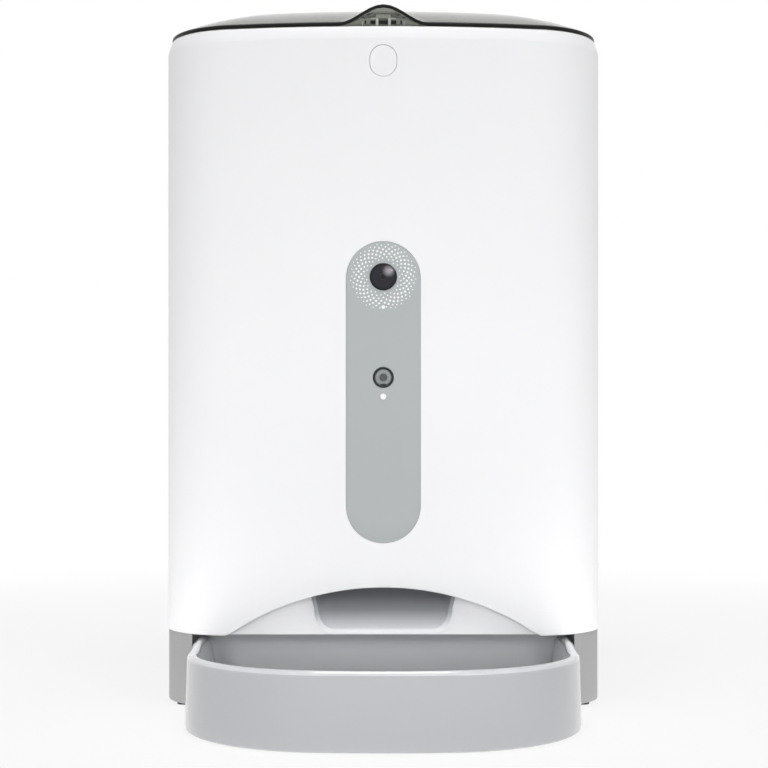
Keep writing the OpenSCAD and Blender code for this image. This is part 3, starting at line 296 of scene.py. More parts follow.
FINISHES = {
    # ABS, moulded: near white with a soft satin sheen
    "white_shell": moulded("abs_white_satin", "F1F1F2", 0.42, depth_mm=0.002, tone=0.015),
    # ABS, painted: an even, cool grey, nearly matt
    "grey_panel": moulded("abs_grey_painted", "B0B4B5", 0.5, tone=0.02),
    # Acrylic, polished: glossy black, with the rings of the lens behind it, a painted highlight, and painted
    # shade at its edge
    "lens_glass": ringed("acrylic_black_polished", CAMERA_Z, LENS_STOPS, 0.09, LENS_PAINTED_HIGHLIGHT,
                         **{"Specular IOR Level": 0.3}),
    # ABS, moulded: matt black
    "black_plastic": moulded("abs_black_matt", "1B1C1D", 0.55),
    # Polycarbonate, moulded clear: the dark lamp in its paler reflector shows through it
    "lamp_lens": ringed("polycarbonate_infrared", LAMP_Z, LAMP_STOPS, 0.35),
    # Polycarbonate, moulded opal: milky white with some gloss
    "light_pipe": moulded("polycarbonate_opal", "FAFAFA", 0.3, tone=0.01),
    # Glass-fibre board, varnished: green with lighter tracks
    "circuit_board": printed_board("glass_fibre_board", "1C5A34"),
    # Steel, zinc-plated: a cool grey with a broken shine
    "screw_steel": turned_metal("steel_zinc_plated", "B9BCC0", 0.35),
    # Polycarbonate, moulded and tinted: clear smoke grey, glossy and slightly rippled
    "smoke_lid": smoke_sheet("polycarbonate_smoke", "A7A9A1", 0.08),
    # Silicone, moulded: dark grey and matt
    "seal_rubber": moulded("silicone_dark", "3A3C3B", 0.6),
    # Polypropylene, moulded: off-white with a waxy sheen
    "white_inner": moulded("polypropylene_white", "E9E9E8", 0.45),
    # Steel, ground: light and bright
    "shaft_steel": turned_metal("steel_ground", "C6C8CA", 0.25),
    # Polypropylene, moulded: light grey with a waxy sheen
    "rotor_plastic": moulded("polypropylene_grey", "D5D6D6", 0.45),
    # Bronze, sintered: a dull yellow brown
    "bush_bronze": turned_metal("bronze_sintered", "B38A4E", 0.5),
    # Acetal, moulded: creamy white with a soft sheen
    "gear_acetal": moulded("acetal_natural", "E8E4D8", 0.4),
    # Steel, drawn: mid grey, half bright
    "motor_steel": turned_metal("steel_drawn_can", "9A9DA0", 0.4),
    # ABS, moulded: grey, with painted shade that darkens it upwards from a nearly white mouth
    "chute_plastic": shaded_by_height("abs_grey_chute", CHUTE_SHADE_STOPS, 0.4),
    # ABS, moulded: white, set a touch paler than the shell as painted light against the shade under the arch,
    # with a satin sheen
    "outlet_grey": moulded("abs_white_painted_light", "F3F3F4", 0.45, tone=0.02),
    # ABS, moulded: mid grey, nearly matt
    "base_grey": moulded("abs_base_grey", "9E9E9E", 0.5, tone=0.03),
    # PVC, shrunk on: blue and glossy
    "cell_wrap": moulded("pvc_cell_wrap", "2F4E7A", 0.3),
    # Brass, plated: warm yellow and bright
    "contact_brass": turned_metal("brass_plated_spring", "C9A757", 0.3),
    # Rubber, moulded: black without shine
    "foot_rubber": moulded("rubber_black", "242424", 0.8),
    # ABS, moulded in a polished mould: mid grey under a clear gloss
    "bowl_grey": moulded("abs_bowl_grey", "9B9C9F", 0.3, depth_mm=0.001, tone=0.02,
                         **{"Coat Weight": 1.0, "Coat Roughness": 0.1}),
}
# The cut edge of the tinted sheet, near black because light runs through its whole width
LID_EDGE = moulded("polycarbonate_smoke_edge", "0B0C0B", 0.4, depth_mm=0.002,
                   **{"Specular IOR Level": 0.15})
# The same sheet with a frosted back, as under the finger arch: grey and cloudy
GRIP_SMOKE = moulded("polycarbonate_smoke_frosted", "A6AAA0", 0.35)
# The bowl's rim and inside: the bowl's grey made paler as painted light, and a little glossier than its
# outside
BOWL_INSIDE_PAINTED_LIGHT = moulded("abs_bowl_grey_painted_light", "BBBCBF", 0.25, depth_mm=0.001, tone=0.02,
                      **{"Coat Weight": 1.0, "Coat Roughness": 0.08})
# White ink, printed on the panel: flat and without shine
DOT_INK = moulded("ink_white_printed", "FBFBFB", 0.6, tone=0.01)
SLOT_OF = {part["node"]: part["material_slot"] for part in frame["record"]["subparts"]}


# Mesh helpers


def arc(centre, radius, start, sweep, steps):
    """Points along an arc, its last point left to the next stretch."""
    turns = [start + sweep * k / steps for k in range(steps)]
    return [(centre[0] + radius * math.cos(t), centre[1] + radius * math.sin(t)) for t in turns]


def straight(start, end, steps):
    """Points along a line, its last point left to the next stretch."""
    return [(start[0] + (end[0] - start[0]) * k / steps, start[1] + (end[1] - start[1]) * k / steps)
            for k in range(steps)]


def plan_points(plan, inset=0):
    """The outline of a plan set in by inset, anticlockwise from the left end of its bowed front."""
    front_x = plan.half - plan.front_corner
    rear_x = plan.half - plan.rear_corner
    bow_y = plan.front + plan.bow
    lean = math.asin(front_x / (plan.bow - plan.front_corner))
    front_y = bow_y - (plan.bow - plan.front_corner) * math.cos(lean)
    rear_y = plan.rear - plan.rear_corner
    side = plan.half - inset
    rear = plan.rear - inset
    front_r = plan.front_corner - inset
    rear_r = plan.rear_corner - inset
    right = math.pi / 2
    return (arc((0, bow_y), plan.bow - inset, -right - lean, 2 * lean, BOW_STEPS)
            + arc((front_x, front_y), front_r, lean - right, right - lean, CORNER_STEPS)
            + straight((side, front_y), (side, rear_y), SIDE_STEPS)
            + arc((rear_x, rear_y), rear_r, 0, right, CORNER_STEPS)
            + straight((rear_x, rear), (-rear_x, rear), SIDE_STEPS)
            + arc((-rear_x, rear_y), rear_r, right, right, CORNER_STEPS)
            + straight((-side, rear_y), (-side, front_y), SIDE_STEPS)
            + arc((-front_x, front_y), front_r, 2 * right, right - lean, CORNER_STEPS))


def plan_ring(plan, inset, height):
    """A ring of points on a plan, at a height that may depend on the place."""
    return [(x, y, height(x, y) if callable(height) else height) for x, y in plan_points(plan, inset)]


def loft(bm, rings, closed=False):
    """Extrudes a loop from ring to ring. Returns the edges of the first and of the last ring."""
    verts = [bm.verts.new(p) for p in rings[0]]
    first = edges = [bm.edges.new(pair) for pair in zip(verts, verts[1:] + verts[:1])]
    for ring in rings[1:] + (rings[:1] if closed else []):
        grown = bmesh.ops.extrude_edge_only(bm, edges=edges)["geom"]
        fresh = {g for g in grown if isinstance(g, bmesh.types.BMVert)}
        verts = [next(e.other_vert(v) for e in v.link_edges if e.other_vert(v) in fresh) for v in verts]
        for v, point in zip(verts, ring):
            v.co = point
        edges = [bm.edges.get(pair) for pair in zip(verts, verts[1:] + verts[:1])]
    return first, edges


def cap(bm, *loops):
    """Fills each loop of edges with one face."""
    for edges in loops:
        bmesh.ops.edgeloop_fill(bm, edges=edges)


def close_loop(bm, edges):
    """Draws a small loop of edges together into one point at its middle."""
    verts = list({v for e in edges for v in e.verts})
    middle = sum((v.co for v in verts), Vector()) / len(verts)
    bmesh.ops.pointmerge(bm, verts=verts, merge_co=middle)


def add_box(bm, low, high):
    """A box from corner to corner."""
    low, high = Vector(low), Vector(high)
    bmesh.ops.create_cube(bm, size=1, matrix=Matrix.LocRotScale((low + high) / 2, None, high - low))


def add_rod(bm, start, end, radius, sides=32):
    """A round bar from point to point."""
    start, end = Vector(start), Vector(end)
    turn = (end - start).to_track_quat("Z", "Y").to_matrix().to_4x4()
    bmesh.ops.create_cone(bm, cap_ends=True, segments=sides, radius1=radius, radius2=radius,
                          depth=(end - start).length, matrix=Matrix.Translation((start + end) / 2) @ turn)


def turn_profile(bm, profile, z, steps=64):
    """Spins a profile of (radius, depth behind the front) in mm round an axis along Y at height z."""
    points = [bm.verts.new((r * MM, FRONT + depth * MM, z)) for r, depth in profile]
    edges = [bm.edges.new(pair) for pair in zip(points, points[1:])]
    bmesh.ops.spin(bm, geom=points + edges, cent=(0, 0, z), axis=(0, 1, 0), angle=2 * math.pi, steps=steps,
                   use_merge=True)
    bmesh.ops.remove_doubles(bm, verts=bm.verts, dist=WELD)


def finish_piece(name, bm, slot, body, stands_for=(), sharp=32, material=None):
    """Turns a bmesh into a finished piece that rides on a body and takes a slot's finish."""
    bmesh.ops.remove_doubles(bm, verts=bm.verts, dist=WELD)
    bmesh.ops.recalc_face_normals(bm, faces=bm.faces)
    mesh = bpy.data.meshes.new(name)
    bm.to_mesh(mesh)
    bm.free()
    mesh.shade_smooth()
    mesh.set_sharp_from_angle(angle=math.radians(sharp))
    piece = bpy.data.objects.new(name, mesh)
    bpy.context.scene.collection.objects.link(piece)
    mesh.materials.append(material or FINISHES[slot])
    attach(piece, body)
    if stands_for:
        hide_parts(*stands_for)
    return piece


def cut_holes(piece, bm):
    """Cuts the shapes of a bmesh out of a piece."""
    bmesh.ops.recalc_face_normals(bm, faces=bm.faces)
    mesh = bpy.data.meshes.new("holes")
    bm.to_mesh(mesh)
    bm.free()
    cutter = bpy.data.objects.new("holes", mesh)
    bpy.context.scene.collection.objects.link(cutter)
    cut = piece.modifiers.new("holes", "BOOLEAN")
    cut.object = cutter
    cut.solver = "EXACT"
    cut.use_self = True
    done = bpy.data.meshes.new_from_object(piece.evaluated_get(bpy.context.evaluated_depsgraph_get()))
    piece.modifiers.clear()
    old = piece.data
    piece.data = done
    done.name = piece.name
    bpy.data.meshes.remove(old)
    bpy.data.objects.remove(cutter)
    bpy.data.meshes.remove(mesh)


# For copies of solids: points this near are one, faces this flat are merged and edges this sharp are eased.
# Sharp edges this low and this near to the outline are the foot's
CAD_WELD = 0.002 * MM
FLAT = math.radians(0.3)
SHARP = math.radians(35)
SOLE_H = 0.1 * MM
OUTLINE_REACH = 4 * MM


def on_outside(edge):
    """Whether an edge lies along the base's outline."""
    x, y = edge.verts[0].co.xy
    gaps = [math.hypot(x - px, y - py) for px, py in plan_points(BODY, BASE_STEP)]
    return min(gaps) < OUTLINE_REACH


def eased_copy(name, node, slot, body, ease, foot=0):
    """A copy of a CAD node's mesh with its sharp edges eased, and its lowest outer edges by foot if given."""
    bm = bmesh.new()
    bm.from_mesh(NODES[node].data)
    bmesh.ops.transform(bm, matrix=NODES[node].matrix_world, verts=bm.verts)
    bmesh.ops.remove_doubles(bm, verts=bm.verts, dist=CAD_WELD)
    bmesh.ops.dissolve_limit(bm, angle_limit=FLAT, verts=bm.verts, edges=bm.edges)
    low = min(v.co.z for v in bm.verts)
    sharp = [e for e in bm.edges if len(e.link_faces) == 2 and e.calc_face_angle(0) > SHARP]
    sole = [e for e in sharp if foot and max(v.co.z for v in e.verts) < low + SOLE_H and on_outside(e)]
    others = [e for e in sharp if e not in sole]
    for edges, width, segments in ((sole, foot, 4), (others, ease, 2)):
        if edges:
            edges = [e for e in edges if e.is_valid]
            bmesh.ops.bevel(bm, geom=edges, offset=width, offset_type="OFFSET", segments=segments,
                            profile=0.5, affect="EDGES", material=-1, clamp_overlap=True)
    return finish_piece(name, bm, slot, body, [node])


# Outer shell

SHELL_EDGE = 0.9 * MM
# The wall's rings are level from this height up
ARCH_CLEAR = SKIRT + 32 * MM
WAIST = 200 * MM
# The wall in section as pairs of inset and height: the lower edge on the outside, measured from the arch,
# then the outside over the band and the rim to the ledge and down the inside, then the inner lower edge
LOWER_EDGE = [(SHELL_EDGE, 0), (0.25 * SHELL_EDGE, 0.25 * SHELL_EDGE), (0, SHELL_EDGE)]
WALL_PROFILE = [(0, ARCH_CLEAR), (0, WAIST), (0, CREASE - 0.4 * MM), (0.06 * MM, CREASE + 0.2 * MM),
                (1.75 * MM, RIM - 0.9 * MM), (BAND_IN, RIM - 0.25 * MM), (2.7 * MM, RIM),
                (RIM_T - 0.3 * MM, RIM), (RIM_T, RIM - 0.3 * MM), (RIM_T, LEDGE_TOP), (LEDGE_IN, LEDGE_TOP),
                (LEDGE_IN, LEDGE_LOW), (WALL, LEDGE_LOW), (WALL, ARCH_CLEAR)]
INNER_EDGE = [(WALL, 0.3 * MM), (WALL - 0.3 * MM, 0)]
# The shell's knuckles of the lid hinge, from x to x in mm, and the hinge's axis
KNUCKLES = [(-26, 26), (56.2, 67.2), (-67.2, -56.2)]
KNUCKLE_SINK = 1 * MM
BARREL_R = 3 * MM
KNUCKLE_BACK = 0.8 * BARREL_R
HINGE_Y = REAR - 5.4 * MM
HINGE_Z = RIM + 3.4 * MM
# Holes are cut from outside the wall to behind it, with edges that stay sharp
HOLE_OUT = 2 * MM
HOLE_IN = 6 * MM
HOLE_EDGE = 0.01 * MM
GRILLE_PITCH = 4.2 * MM
GRILLE_R = 0.9 * MM
GRILLE_RINGS = 2
# The gap in the ledge where the latch runs
LATCH_HALF = 14.1 * MM
LATCH_DEEP = 14 * MM
LATCH_DROP = 15.1 * MM
SPEAKER = [sum(c) / 2 for c in zip(*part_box("speaker"))]


def arch_height(x, y):
    """Height of the shell's lower edge: level, but for the arch over the bowl at the front."""
    if abs(x) >= ARCH_HALF or y > MID_Y:
        return SKIRT
    radius = (ARCH_HALF ** 2 + ARCH_H ** 2) / (2 * ARCH_H)
    return SKIRT + ARCH_H - radius + math.sqrt(radius ** 2 - x ** 2)


def arch_rings(profile):
    """Rings along the shell's lower edge, from pairs of inset and rise above it."""
    return [plan_ring(BODY, inset, lambda x, y, up=rise: arch_height(x, y) + up) for inset, rise in profile]


def make_shell():
    """The shell with its band, rim, ledge, arch and hinge knuckles, and the openings in it."""
    bm = bmesh.new()
    wall = [plan_ring(BODY, inset, z) for inset, z in WALL_PROFILE]
    loft(bm, arch_rings(LOWER_EDGE) + wall + arch_rings(INNER_EDGE), closed=True)
    for x0, x1 in KNUCKLES:
        add_rod(bm, (x0 * MM, HINGE_Y, HINGE_Z), (x1 * MM, HINGE_Y, HINGE_Z), BARREL_R)
        add_box(bm, (x0 * MM, HINGE_Y - BARREL_R, RIM - KNUCKLE_SINK),
                (x1 * MM, HINGE_Y + KNUCKLE_BACK, HINGE_Z))
    shell = finish_piece("shell", bm, "white_shell", "body", ["outer_shell"])

    holes = bmesh.new()
    add_plate(holes, PANEL_HALF + PANEL_FIT, PANEL_RISE, PANEL_Z, -HOLE_OUT, PANEL_T + PANEL_FIT, HOLE_EDGE)
    add_plate(holes, BUTTON_HALF + BUTTON_GAP, BUTTON_RISE, BUTTON_Z, -HOLE_OUT, HOLE_IN, HOLE_EDGE)
    add_box(holes, (-LATCH_HALF, FRONT + WALL, BUTTON_Z - LATCH_DROP),
            (LATCH_HALF, FRONT + LATCH_DEEP, LEDGE_TOP))
    steps = range(-GRILLE_RINGS, GRILLE_RINGS + 1)
    for i, j in [(i, j) for i in steps for j in steps if abs(i + j) <= GRILLE_RINGS]:
        x = SPEAKER[0] + GRILLE_PITCH * (i + j / 2)
        z = SPEAKER[2] + GRILLE_PITCH * j * math.sin(math.pi / 3)
        add_rod(holes, (x, REAR - HOLE_IN, z), (x, REAR + HOLE_OUT, z), GRILLE_R, sides=16)
    cut_holes(shell, holes)


# Lid: a smoke dome whose front edge lifts in a finger arch

LID_T = 1.8 * MM
LID_RISE = 18 * MM
LID_POWER = 3.2
LID_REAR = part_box("lid")[1].y
FINGER_H = 8.7 * MM
FINGER_HALF = 22 * MM
FINGER_DEPTH = 40 * MM
FINGER_BLEND = 4
# Scale and drop of the rings round the lid's edge, and the scales of those from there to the middle
LID_BORDER = [(1, LID_T), (1, 0.5 * MM), (0.9985, 0.15 * MM), (0.9955, 0)]
LID_SCALES = [0.985, 0.97, 0.95, 0.92, 0.88, 0.83, 0.77, 0.7, 0.62, 0.53, 0.43, 0.32, 0.2, 0.08]
LID_RIM = plan_points(BODY, BAND_IN)


def bell(t):
    """A smooth hump: 1 at t = 0, falling to 0 at t = 1."""
    return (1 + math.cos(math.pi * min(abs(t), 1))) / 2


def lid_top(s, x, y):
    """Height of the lid's upper face on the ring of scale s: the higher of dome and arch, rounded between."""
    dome = LID_RISE * (1 - s ** LID_POWER)
    arch = FINGER_H * bell(x / FINGER_HALF) * bell(max(0, y - FRONT - BAND_IN) / FINGER_DEPTH)
    return RIM + LID_T + (dome ** FINGER_BLEND + arch ** FINGER_BLEND) ** (1 / FINGER_BLEND)


def lid_ring(s, drop):
    """A ring of the lid's outline shrunk by s, a drop below the upper face."""
    ring = []
    for x, y in LID_RIM:
        place = x * s, MID_Y + (min(y, LID_REAR) - MID_Y) * s
        ring.append((*place, lid_top(s, *place) - drop))
    return ring


def make_lid():
    """The domed lid, dark along its cut edge."""
    bm = bmesh.new()
    edge = [lid_ring(s, drop) for s, drop in LID_BORDER]
    loft(bm, edge)
    for face in bm.faces:
        face.material_index = 1
    for ring, drop in ((edge[0], LID_T), (edge[-1], 0)):
        _, end = loft(bm, [ring] + [lid_ring(s, drop) for s in LID_SCALES])
        close_loop(bm, end)
    lid = finish_piece("lid_dome", bm, "smoke_lid", "lid", ["lid"], sharp=50)
    lid.data.materials.append(LID_EDGE)


# Bowl

BOWL_LOW, BOWL_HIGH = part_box("bowl")
# In front of the shell the bowl is this much slimmer on each side
BOWL_SLIM = 1.7 * MM
BOWL_CORNER = 68 * MM
BOWL_REAR_CORNER = 24 * MM
BOWL_BOW = 350 * MM
BOWL = Plan(BOWL_HIGH.x - BOWL_SLIM, BOWL_LOW.y, BOWL_HIGH.y, BOWL_CORNER, BOWL_REAR_CORNER, BOWL_BOW)
# The stretch over which the slimmer front widens to the full width under the shell
FLARE_START = FRONT - 39 * MM
FLARE_LONG = 45 * MM
# The wall in section, from the foot over the rolled rim to the floor: inset and height in mm
BOWL_PROFILE = [(3.6, 0), (1.4, 0.2), (0.4, 0.9), (0.1, 2.2), (0.15, 5), (0.92, 31.4), (1.1, 32.6),
                (1.6, 33.7), (2.5, 34.35), (3.6, 34.5), (4.8, 34.2), (5.8, 33.4), (6.5, 32.1), (7.1, 30),
                (11.4, 9.5), (12.4, 6.6), (13.8, 4.6), (15.8, 3.1), (18, 2.5), (20.5, 2.4)]
# The ring of the profile where the paler, painted-light grey of the rim and inside starts
BOWL_LIP = 6


def make_bowl():
    """The bowl, its rim and inside in a paler, painted-light copy of its grey."""
    bm = bmesh.new()
    rings = [plan_ring(BOWL, inset * MM, z * MM) for inset, z in BOWL_PROFILE]
    foot, _ = loft(bm, rings[:BOWL_LIP + 1])
    cap(bm, foot)
    outside = set(bm.faces)
    _, floor = loft(bm, rings[BOWL_LIP:])
    cap(bm, floor)
    for face in bm.faces:
        if face not in outside:
            face.material_index = 1
    for v in bm.verts:
        v.co.x *= 1 + BOWL_SLIM / BOWL.half * (1 - bell(max(0, v.co.y - FLARE_START) / FLARE_LONG))
    bowl = finish_piece("food_bowl", bm, "bowl_grey", "bowl", ["bowl"])
    bowl.data.materials.append(BOWL_INSIDE_PAINTED_LIGHT)


# Front panel and lid button: upright plates with round ends that follow the bowed front

PANEL_LOW, PANEL_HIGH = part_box("front_panel")
PANEL_HALF = PANEL_HIGH.x
PANEL_Z = (PANEL_LOW.z + PANEL_HIGH.z) / 2
PANEL_RISE = (PANEL_HIGH.z - PANEL_LOW.z) / 2 - PANEL_HALF
PANEL_T = 1.4 * MM
PLATE_EDGE = 0.35 * MM
BUTTON_HALF = 6.45 * MM
BUTTON_RISE = 1.1 * MM
BUTTON_GAP = 0.18 * MM
BUTTON_T = 4.8 * MM
BUTTON_FLANGE = 1.4 * MM
FLANGE_DEPTH = 2.9 * MM
FLANGE_EDGE = 0.2 * MM
BUTTON_Z = sum(c.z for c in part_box("latch_button")) / 2
END_STEPS = 24
# Scales of the rings that a plate's flat faces are filled through
PLATE_SCALES = (0.05, 0.35, 0.65)
STATUS_Z = sum(c.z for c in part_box("status_light")) / 2
RECORD_Z = sum(c.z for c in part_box("recording_light")) / 2
CAMERA_R = 6.5 * MM
LAMP_R = 5 * MM
STATUS_R = 1.5 * MM
RECORD_R = 0.95 * MM
HOLE_FIT = 0.1 * MM
PANEL_FIT = 0.05 * MM


def bow_y(x):
    """Depth of the bowed front at a distance from its middle."""
    return FRONT + BOW - math.sqrt(BOW ** 2 - x ** 2)


def plate_ring(half, rise, z, depth):
    """An upright ring with round ends of radius half, a depth behind the bowed front."""
    points = (arc((0, z + rise), half, 0, math.pi, END_STEPS)
              + straight((-half, z + rise), (-half, z - rise), SIDE_STEPS)
              + arc((0, z - rise), half, math.pi, math.pi, END_STEPS)
              + straight((half, z - rise), (half, z + rise), SIDE_STEPS))
    return [(x, bow_y(x) + depth, z) for x, z in points]


def add_plate(bm, half, rise, z, front, back, edge):
    """A plate with round ends between two depths behind the bowed front, its front edge eased."""
    rings = [plate_ring(half * s, rise, z, back) for s in PLATE_SCALES]
    rings += [plate_ring(half, rise, z, back), plate_ring(half, rise, z, front + edge)]
    rings += [plate_ring(half - 0.3 * edge, rise, z, front + 0.3 * edge)]
    rings += [plate_ring(half - edge, rise, z, front)]
    rings += [plate_ring((half - edge) * s, rise, z, front) for s in reversed(PLATE_SCALES)]
    cap(bm, *loft(bm, rings))


def make_panel():
    """The front panel, with holes for the camera, the lamp and the two lights."""
    bm = bmesh.new()
    add_plate(bm, PANEL_HALF, PANEL_RISE, PANEL_Z, 0, PANEL_T, PLATE_EDGE)
    panel = finish_piece("grey_front_panel", bm, "grey_panel", "body", ["front_panel"])
    holes = bmesh.new()
    for z, radius in ((CAMERA_Z, CAMERA_R), (LAMP_Z, LAMP_R), (STATUS_Z, STATUS_R), (RECORD_Z, RECORD_R)):
        add_rod(holes, (0, FRONT - HOLE_OUT, z), (0, FRONT + HOLE_IN, z), radius + HOLE_FIT, sides=64)
    cut_holes(panel, holes)


def make_button():
    """The oval button and the flange that keeps it in the shell."""
    bm = bmesh.new()
    add_plate(bm, BUTTON_HALF, BUTTON_RISE, BUTTON_Z, 0, BUTTON_T, PLATE_EDGE)
    add_plate(bm, BUTTON_HALF + BUTTON_FLANGE, BUTTON_RISE - BUTTON_FLANGE / 2, BUTTON_Z,
              FLANGE_DEPTH, BUTTON_T, FLANGE_EDGE)
    finish_piece("lid_button", bm, "white_shell", "latch", ["latch_button"])


# Lights and lens on the panel, each a profile in mm of (radius, depth behind the front)

LENS_PROFILE = [(6.45, 1.4), (6.45, 0), (6.3, -0.1), (5.2, -0.55), (4.2, -0.87), (3, -1.15), (1.6, -1.37),
                (0, -1.45)]
BEZEL_PROFILE = [(4.98, 1.4), (4.98, 0.1), (4.85, -0.1), (4.5, -0.15), (4.2, -0.05), (4.05, 0.3), (3.95, 1.4)]
LAMP_PROFILE = [(3.9, 1.3), (3.85, 0.35), (3, 0.75), (1.7, 0.95), (1.6, 0.6), (1.4, 0.5), (0, 0.45)]
STATUS_PROFILE = [(1.48, 1.4), (1.48, 0), (1.3, -0.25), (0.8, -0.42), (0, -0.48)]
RECORD_PROFILE = [(0.93, 1.4), (0.93, 0), (0.75, -0.1), (0, -0.16)]
LAMP_FACETS = 20
# The notch in the lamp's ring, a dark block at its foot
NOTCH_LOW = Vector((-1.3 * MM, FRONT + 0.1 * MM, LAMP_Z - 4.2 * MM))
NOTCH_HIGH = Vector((1.3 * MM, FRONT + 1.2 * MM, LAMP_Z - 3.1 * MM))
# Printed dots: their count, the ring that they fill, their largest radius, and their thickness
DOT_COUNT = 190
DOT_NEAR = 7.8 * MM
DOT_FAR = 15.9 * MM
DOT_R = 0.52 * MM
DOT_T = 0.03 * MM
# The share of the way outwards where they are largest, the share over which they shrink, and the least size
DOT_PEAK = 0.45
DOT_FADE = 0.62
DOT_LEAST = 0.5
GOLDEN_TURN = math.pi * (3 - math.sqrt(5))


def make_lights():
    """Camera window, lamp and lights."""
    for name, profile, z, slot, node in (
            ("camera_lens", LENS_PROFILE, CAMERA_Z, "lens_glass", "camera_window"),
            ("lamp_ring", BEZEL_PROFILE, LAMP_Z, "black_plastic", "lamp_bezel"),
            ("status_dome", STATUS_PROFILE, STATUS_Z, "light_pipe", "status_light"),
            ("recording_dome", RECORD_PROFILE, RECORD_Z, "light_pipe", "recording_light")):
        bm = bmesh.new()
        turn_profile(bm, profile, z)
        if name == "lamp_ring":
            add_box(bm, NOTCH_LOW, NOTCH_HIGH)
        finish_piece(name, bm, slot, "body", [node], sharp=60)
    bm = bmesh.new()
    turn_profile(bm, LAMP_PROFILE, LAMP_Z, LAMP_FACETS)
    finish_piece("lamp_reflector", bm, "lamp_lens", "body", ["infrared_lamp"], sharp=8)


def make_dots():
    """White printed dots round the camera on a sunflower pattern, largest halfway out."""
    bm = bmesh.new()
    for k in range(DOT_COUNT):
        share = k / (DOT_COUNT - 1)
        radius = math.sqrt(DOT_NEAR ** 2 + (DOT_FAR ** 2 - DOT_NEAR ** 2) * share)
        turn = k * GOLDEN_TURN
        x = radius * math.cos(turn)
        z = CAMERA_Z + radius * math.sin(turn)
        if math.hypot(x, z - RECORD_Z) < RECORD_R + DOT_R:
            continue
        size = DOT_R * (DOT_LEAST + (1 - DOT_LEAST) * bell((share - DOT_PEAK) / DOT_FADE))
        add_rod(bm, (x, bow_y(x) - DOT_T, z), (x, bow_y(x) + DOT_T, z), size, sides=12)
    finish_piece("printed_dots", bm, "light_pipe", "body", material=DOT_INK)


# Grip under the finger arch: a wall between the catch's bars, with black blocks as painted shade in its
# windows, and a pale line above them

GRIP_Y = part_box("lid_catch")[0].y + 3 * MM
GRIP_T = 0.8 * MM
GRIP_HALF = 17 * MM
GRIP_FOOT = 0.6 * MM
GRIP_GAP = 0.3 * MM
GRIP_STEPS = 24
GRIP_SINK = 0.2 * MM
# Spans from x to x, heights above the rim and how far they stand out, in mm
GRIP_WINDOW_SHADE = ([(-9.1, -8.3), (-6.3, -3.8), (-2.2, 2.2), (3.8, 6.3), (8.3, 9.1)], (3.5, 5.3), 0.15)
GRIP_LINE = ([(-6, 6)], (5.9, 6.25), 0.3)
GRIP_RIBS = ([(-10.3, -9.9), (9.9, 10.3)], (2.5, 4.8), 0.3)
# The catch's bars are pale up to this height above the rim
HOOK_BARS = 5.6 * MM
HOOK_EASE = 0.15 * MM


def add_bars(bm, spans, heights, out):
    """Blocks that stand out of the grip's wall."""
    low, high = heights
    for x0, x1 in spans:
        add_box(bm, (x0 * MM, GRIP_Y - out * MM, RIM + low * MM),
                (x1 * MM, GRIP_Y + GRIP_SINK, RIM + high * MM))


def make_grip():
    """The wall under the finger arch, black blocks that paint the shade in its windows, and its pale line and
    ribs.
    """
    bm = bmesh.new()
    low = RIM + GRIP_FOOT
    scale = (GRIP_Y - MID_Y) / (FRONT + BAND_IN - MID_Y)
    outline = [GRIP_HALF * (2 * k / GRIP_STEPS - 1) for k in range(GRIP_STEPS + 1)]
    top = [(x, GRIP_Y, lid_top(scale, x, GRIP_Y) - LID_T - GRIP_GAP) for x in outline]
    ring = [(GRIP_HALF, GRIP_Y, low), *reversed(top), (-GRIP_HALF, GRIP_Y, low)]
    cap(bm, *loft(bm, [ring, [(x, y + GRIP_T, z) for x, y, z in ring]]))
    finish_piece("grip_wall", bm, "smoke_lid", "lid", material=GRIP_SMOKE)
    # Black blocks that stand for the shade in the catch's windows: painted shade
    bm = bmesh.new()
    add_bars(bm, *GRIP_WINDOW_SHADE)
    finish_piece("grip_window_shade", bm, "black_plastic", "lid")
    bm = bmesh.new()
    add_bars(bm, *GRIP_LINE)
    add_bars(bm, *GRIP_RIBS)
    finish_piece("grip_line", bm, "white_inner", "lid")


def make_hook():
    """The catch: pale bars below, the sheet's smoke tint where it joins the lid."""
    hook = eased_copy("lid_hook", "lid_catch", "white_inner", "lid", HOOK_EASE)
    hook.data.materials.append(GRIP_SMOKE)
    bm = bmesh.new()
    bm.from_mesh(hook.data)
    bmesh.ops.bisect_plane(bm, geom=bm.verts[:] + bm.edges[:] + bm.faces[:], plane_co=(0, 0, RIM + HOOK_BARS),
                           plane_no=(0, 0, 1))
    for face in bm.faces:
        if face.calc_center_median().z > RIM + HOOK_BARS:
            face.material_index = 1
    bm.to_mesh(hook.data)
    bm.free()


# Latch spring, a coil of round wire whose turns close up as the button draws the slider back

SPRING_LOW, SPRING_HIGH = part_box("latch_spring")
SPRING_WIRE = 0.4 * MM
SPRING_TURNS = 4
SPRING_CUTS = 24
SPRING_SIDES = 12


def make_spring():
    """The coil, one unbroken tube."""
    bm = bmesh.new()
    middle = (SPRING_LOW + SPRING_HIGH) / 2
    long = SPRING_HIGH.y - SPRING_LOW.y
    count = SPRING_TURNS * SPRING_CUTS
    rings = []
    for k in range(count + 1):
        turn = 2 * math.pi * k / SPRING_CUTS
        out = Vector((math.cos(turn), 0, math.sin(turn)))
        along = SPRING_WIRE + (long - 2 * SPRING_WIRE) * k / count
        centre = Vector((middle.x, SPRING_LOW.y + along, middle.z)) + (SPRING_HIGH.x - SPRING_WIRE) * out
        rings.append([centre + x * out + Vector((0, y, 0))
                      for x, y in arc((0, 0), SPRING_WIRE, 0, 2 * math.pi, SPRING_SIDES)])
    cap(bm, *loft(bm, rings))
    spring = finish_piece("coil_spring", bm, "shaft_steel", "body", ["latch_spring"])
    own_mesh(spring)


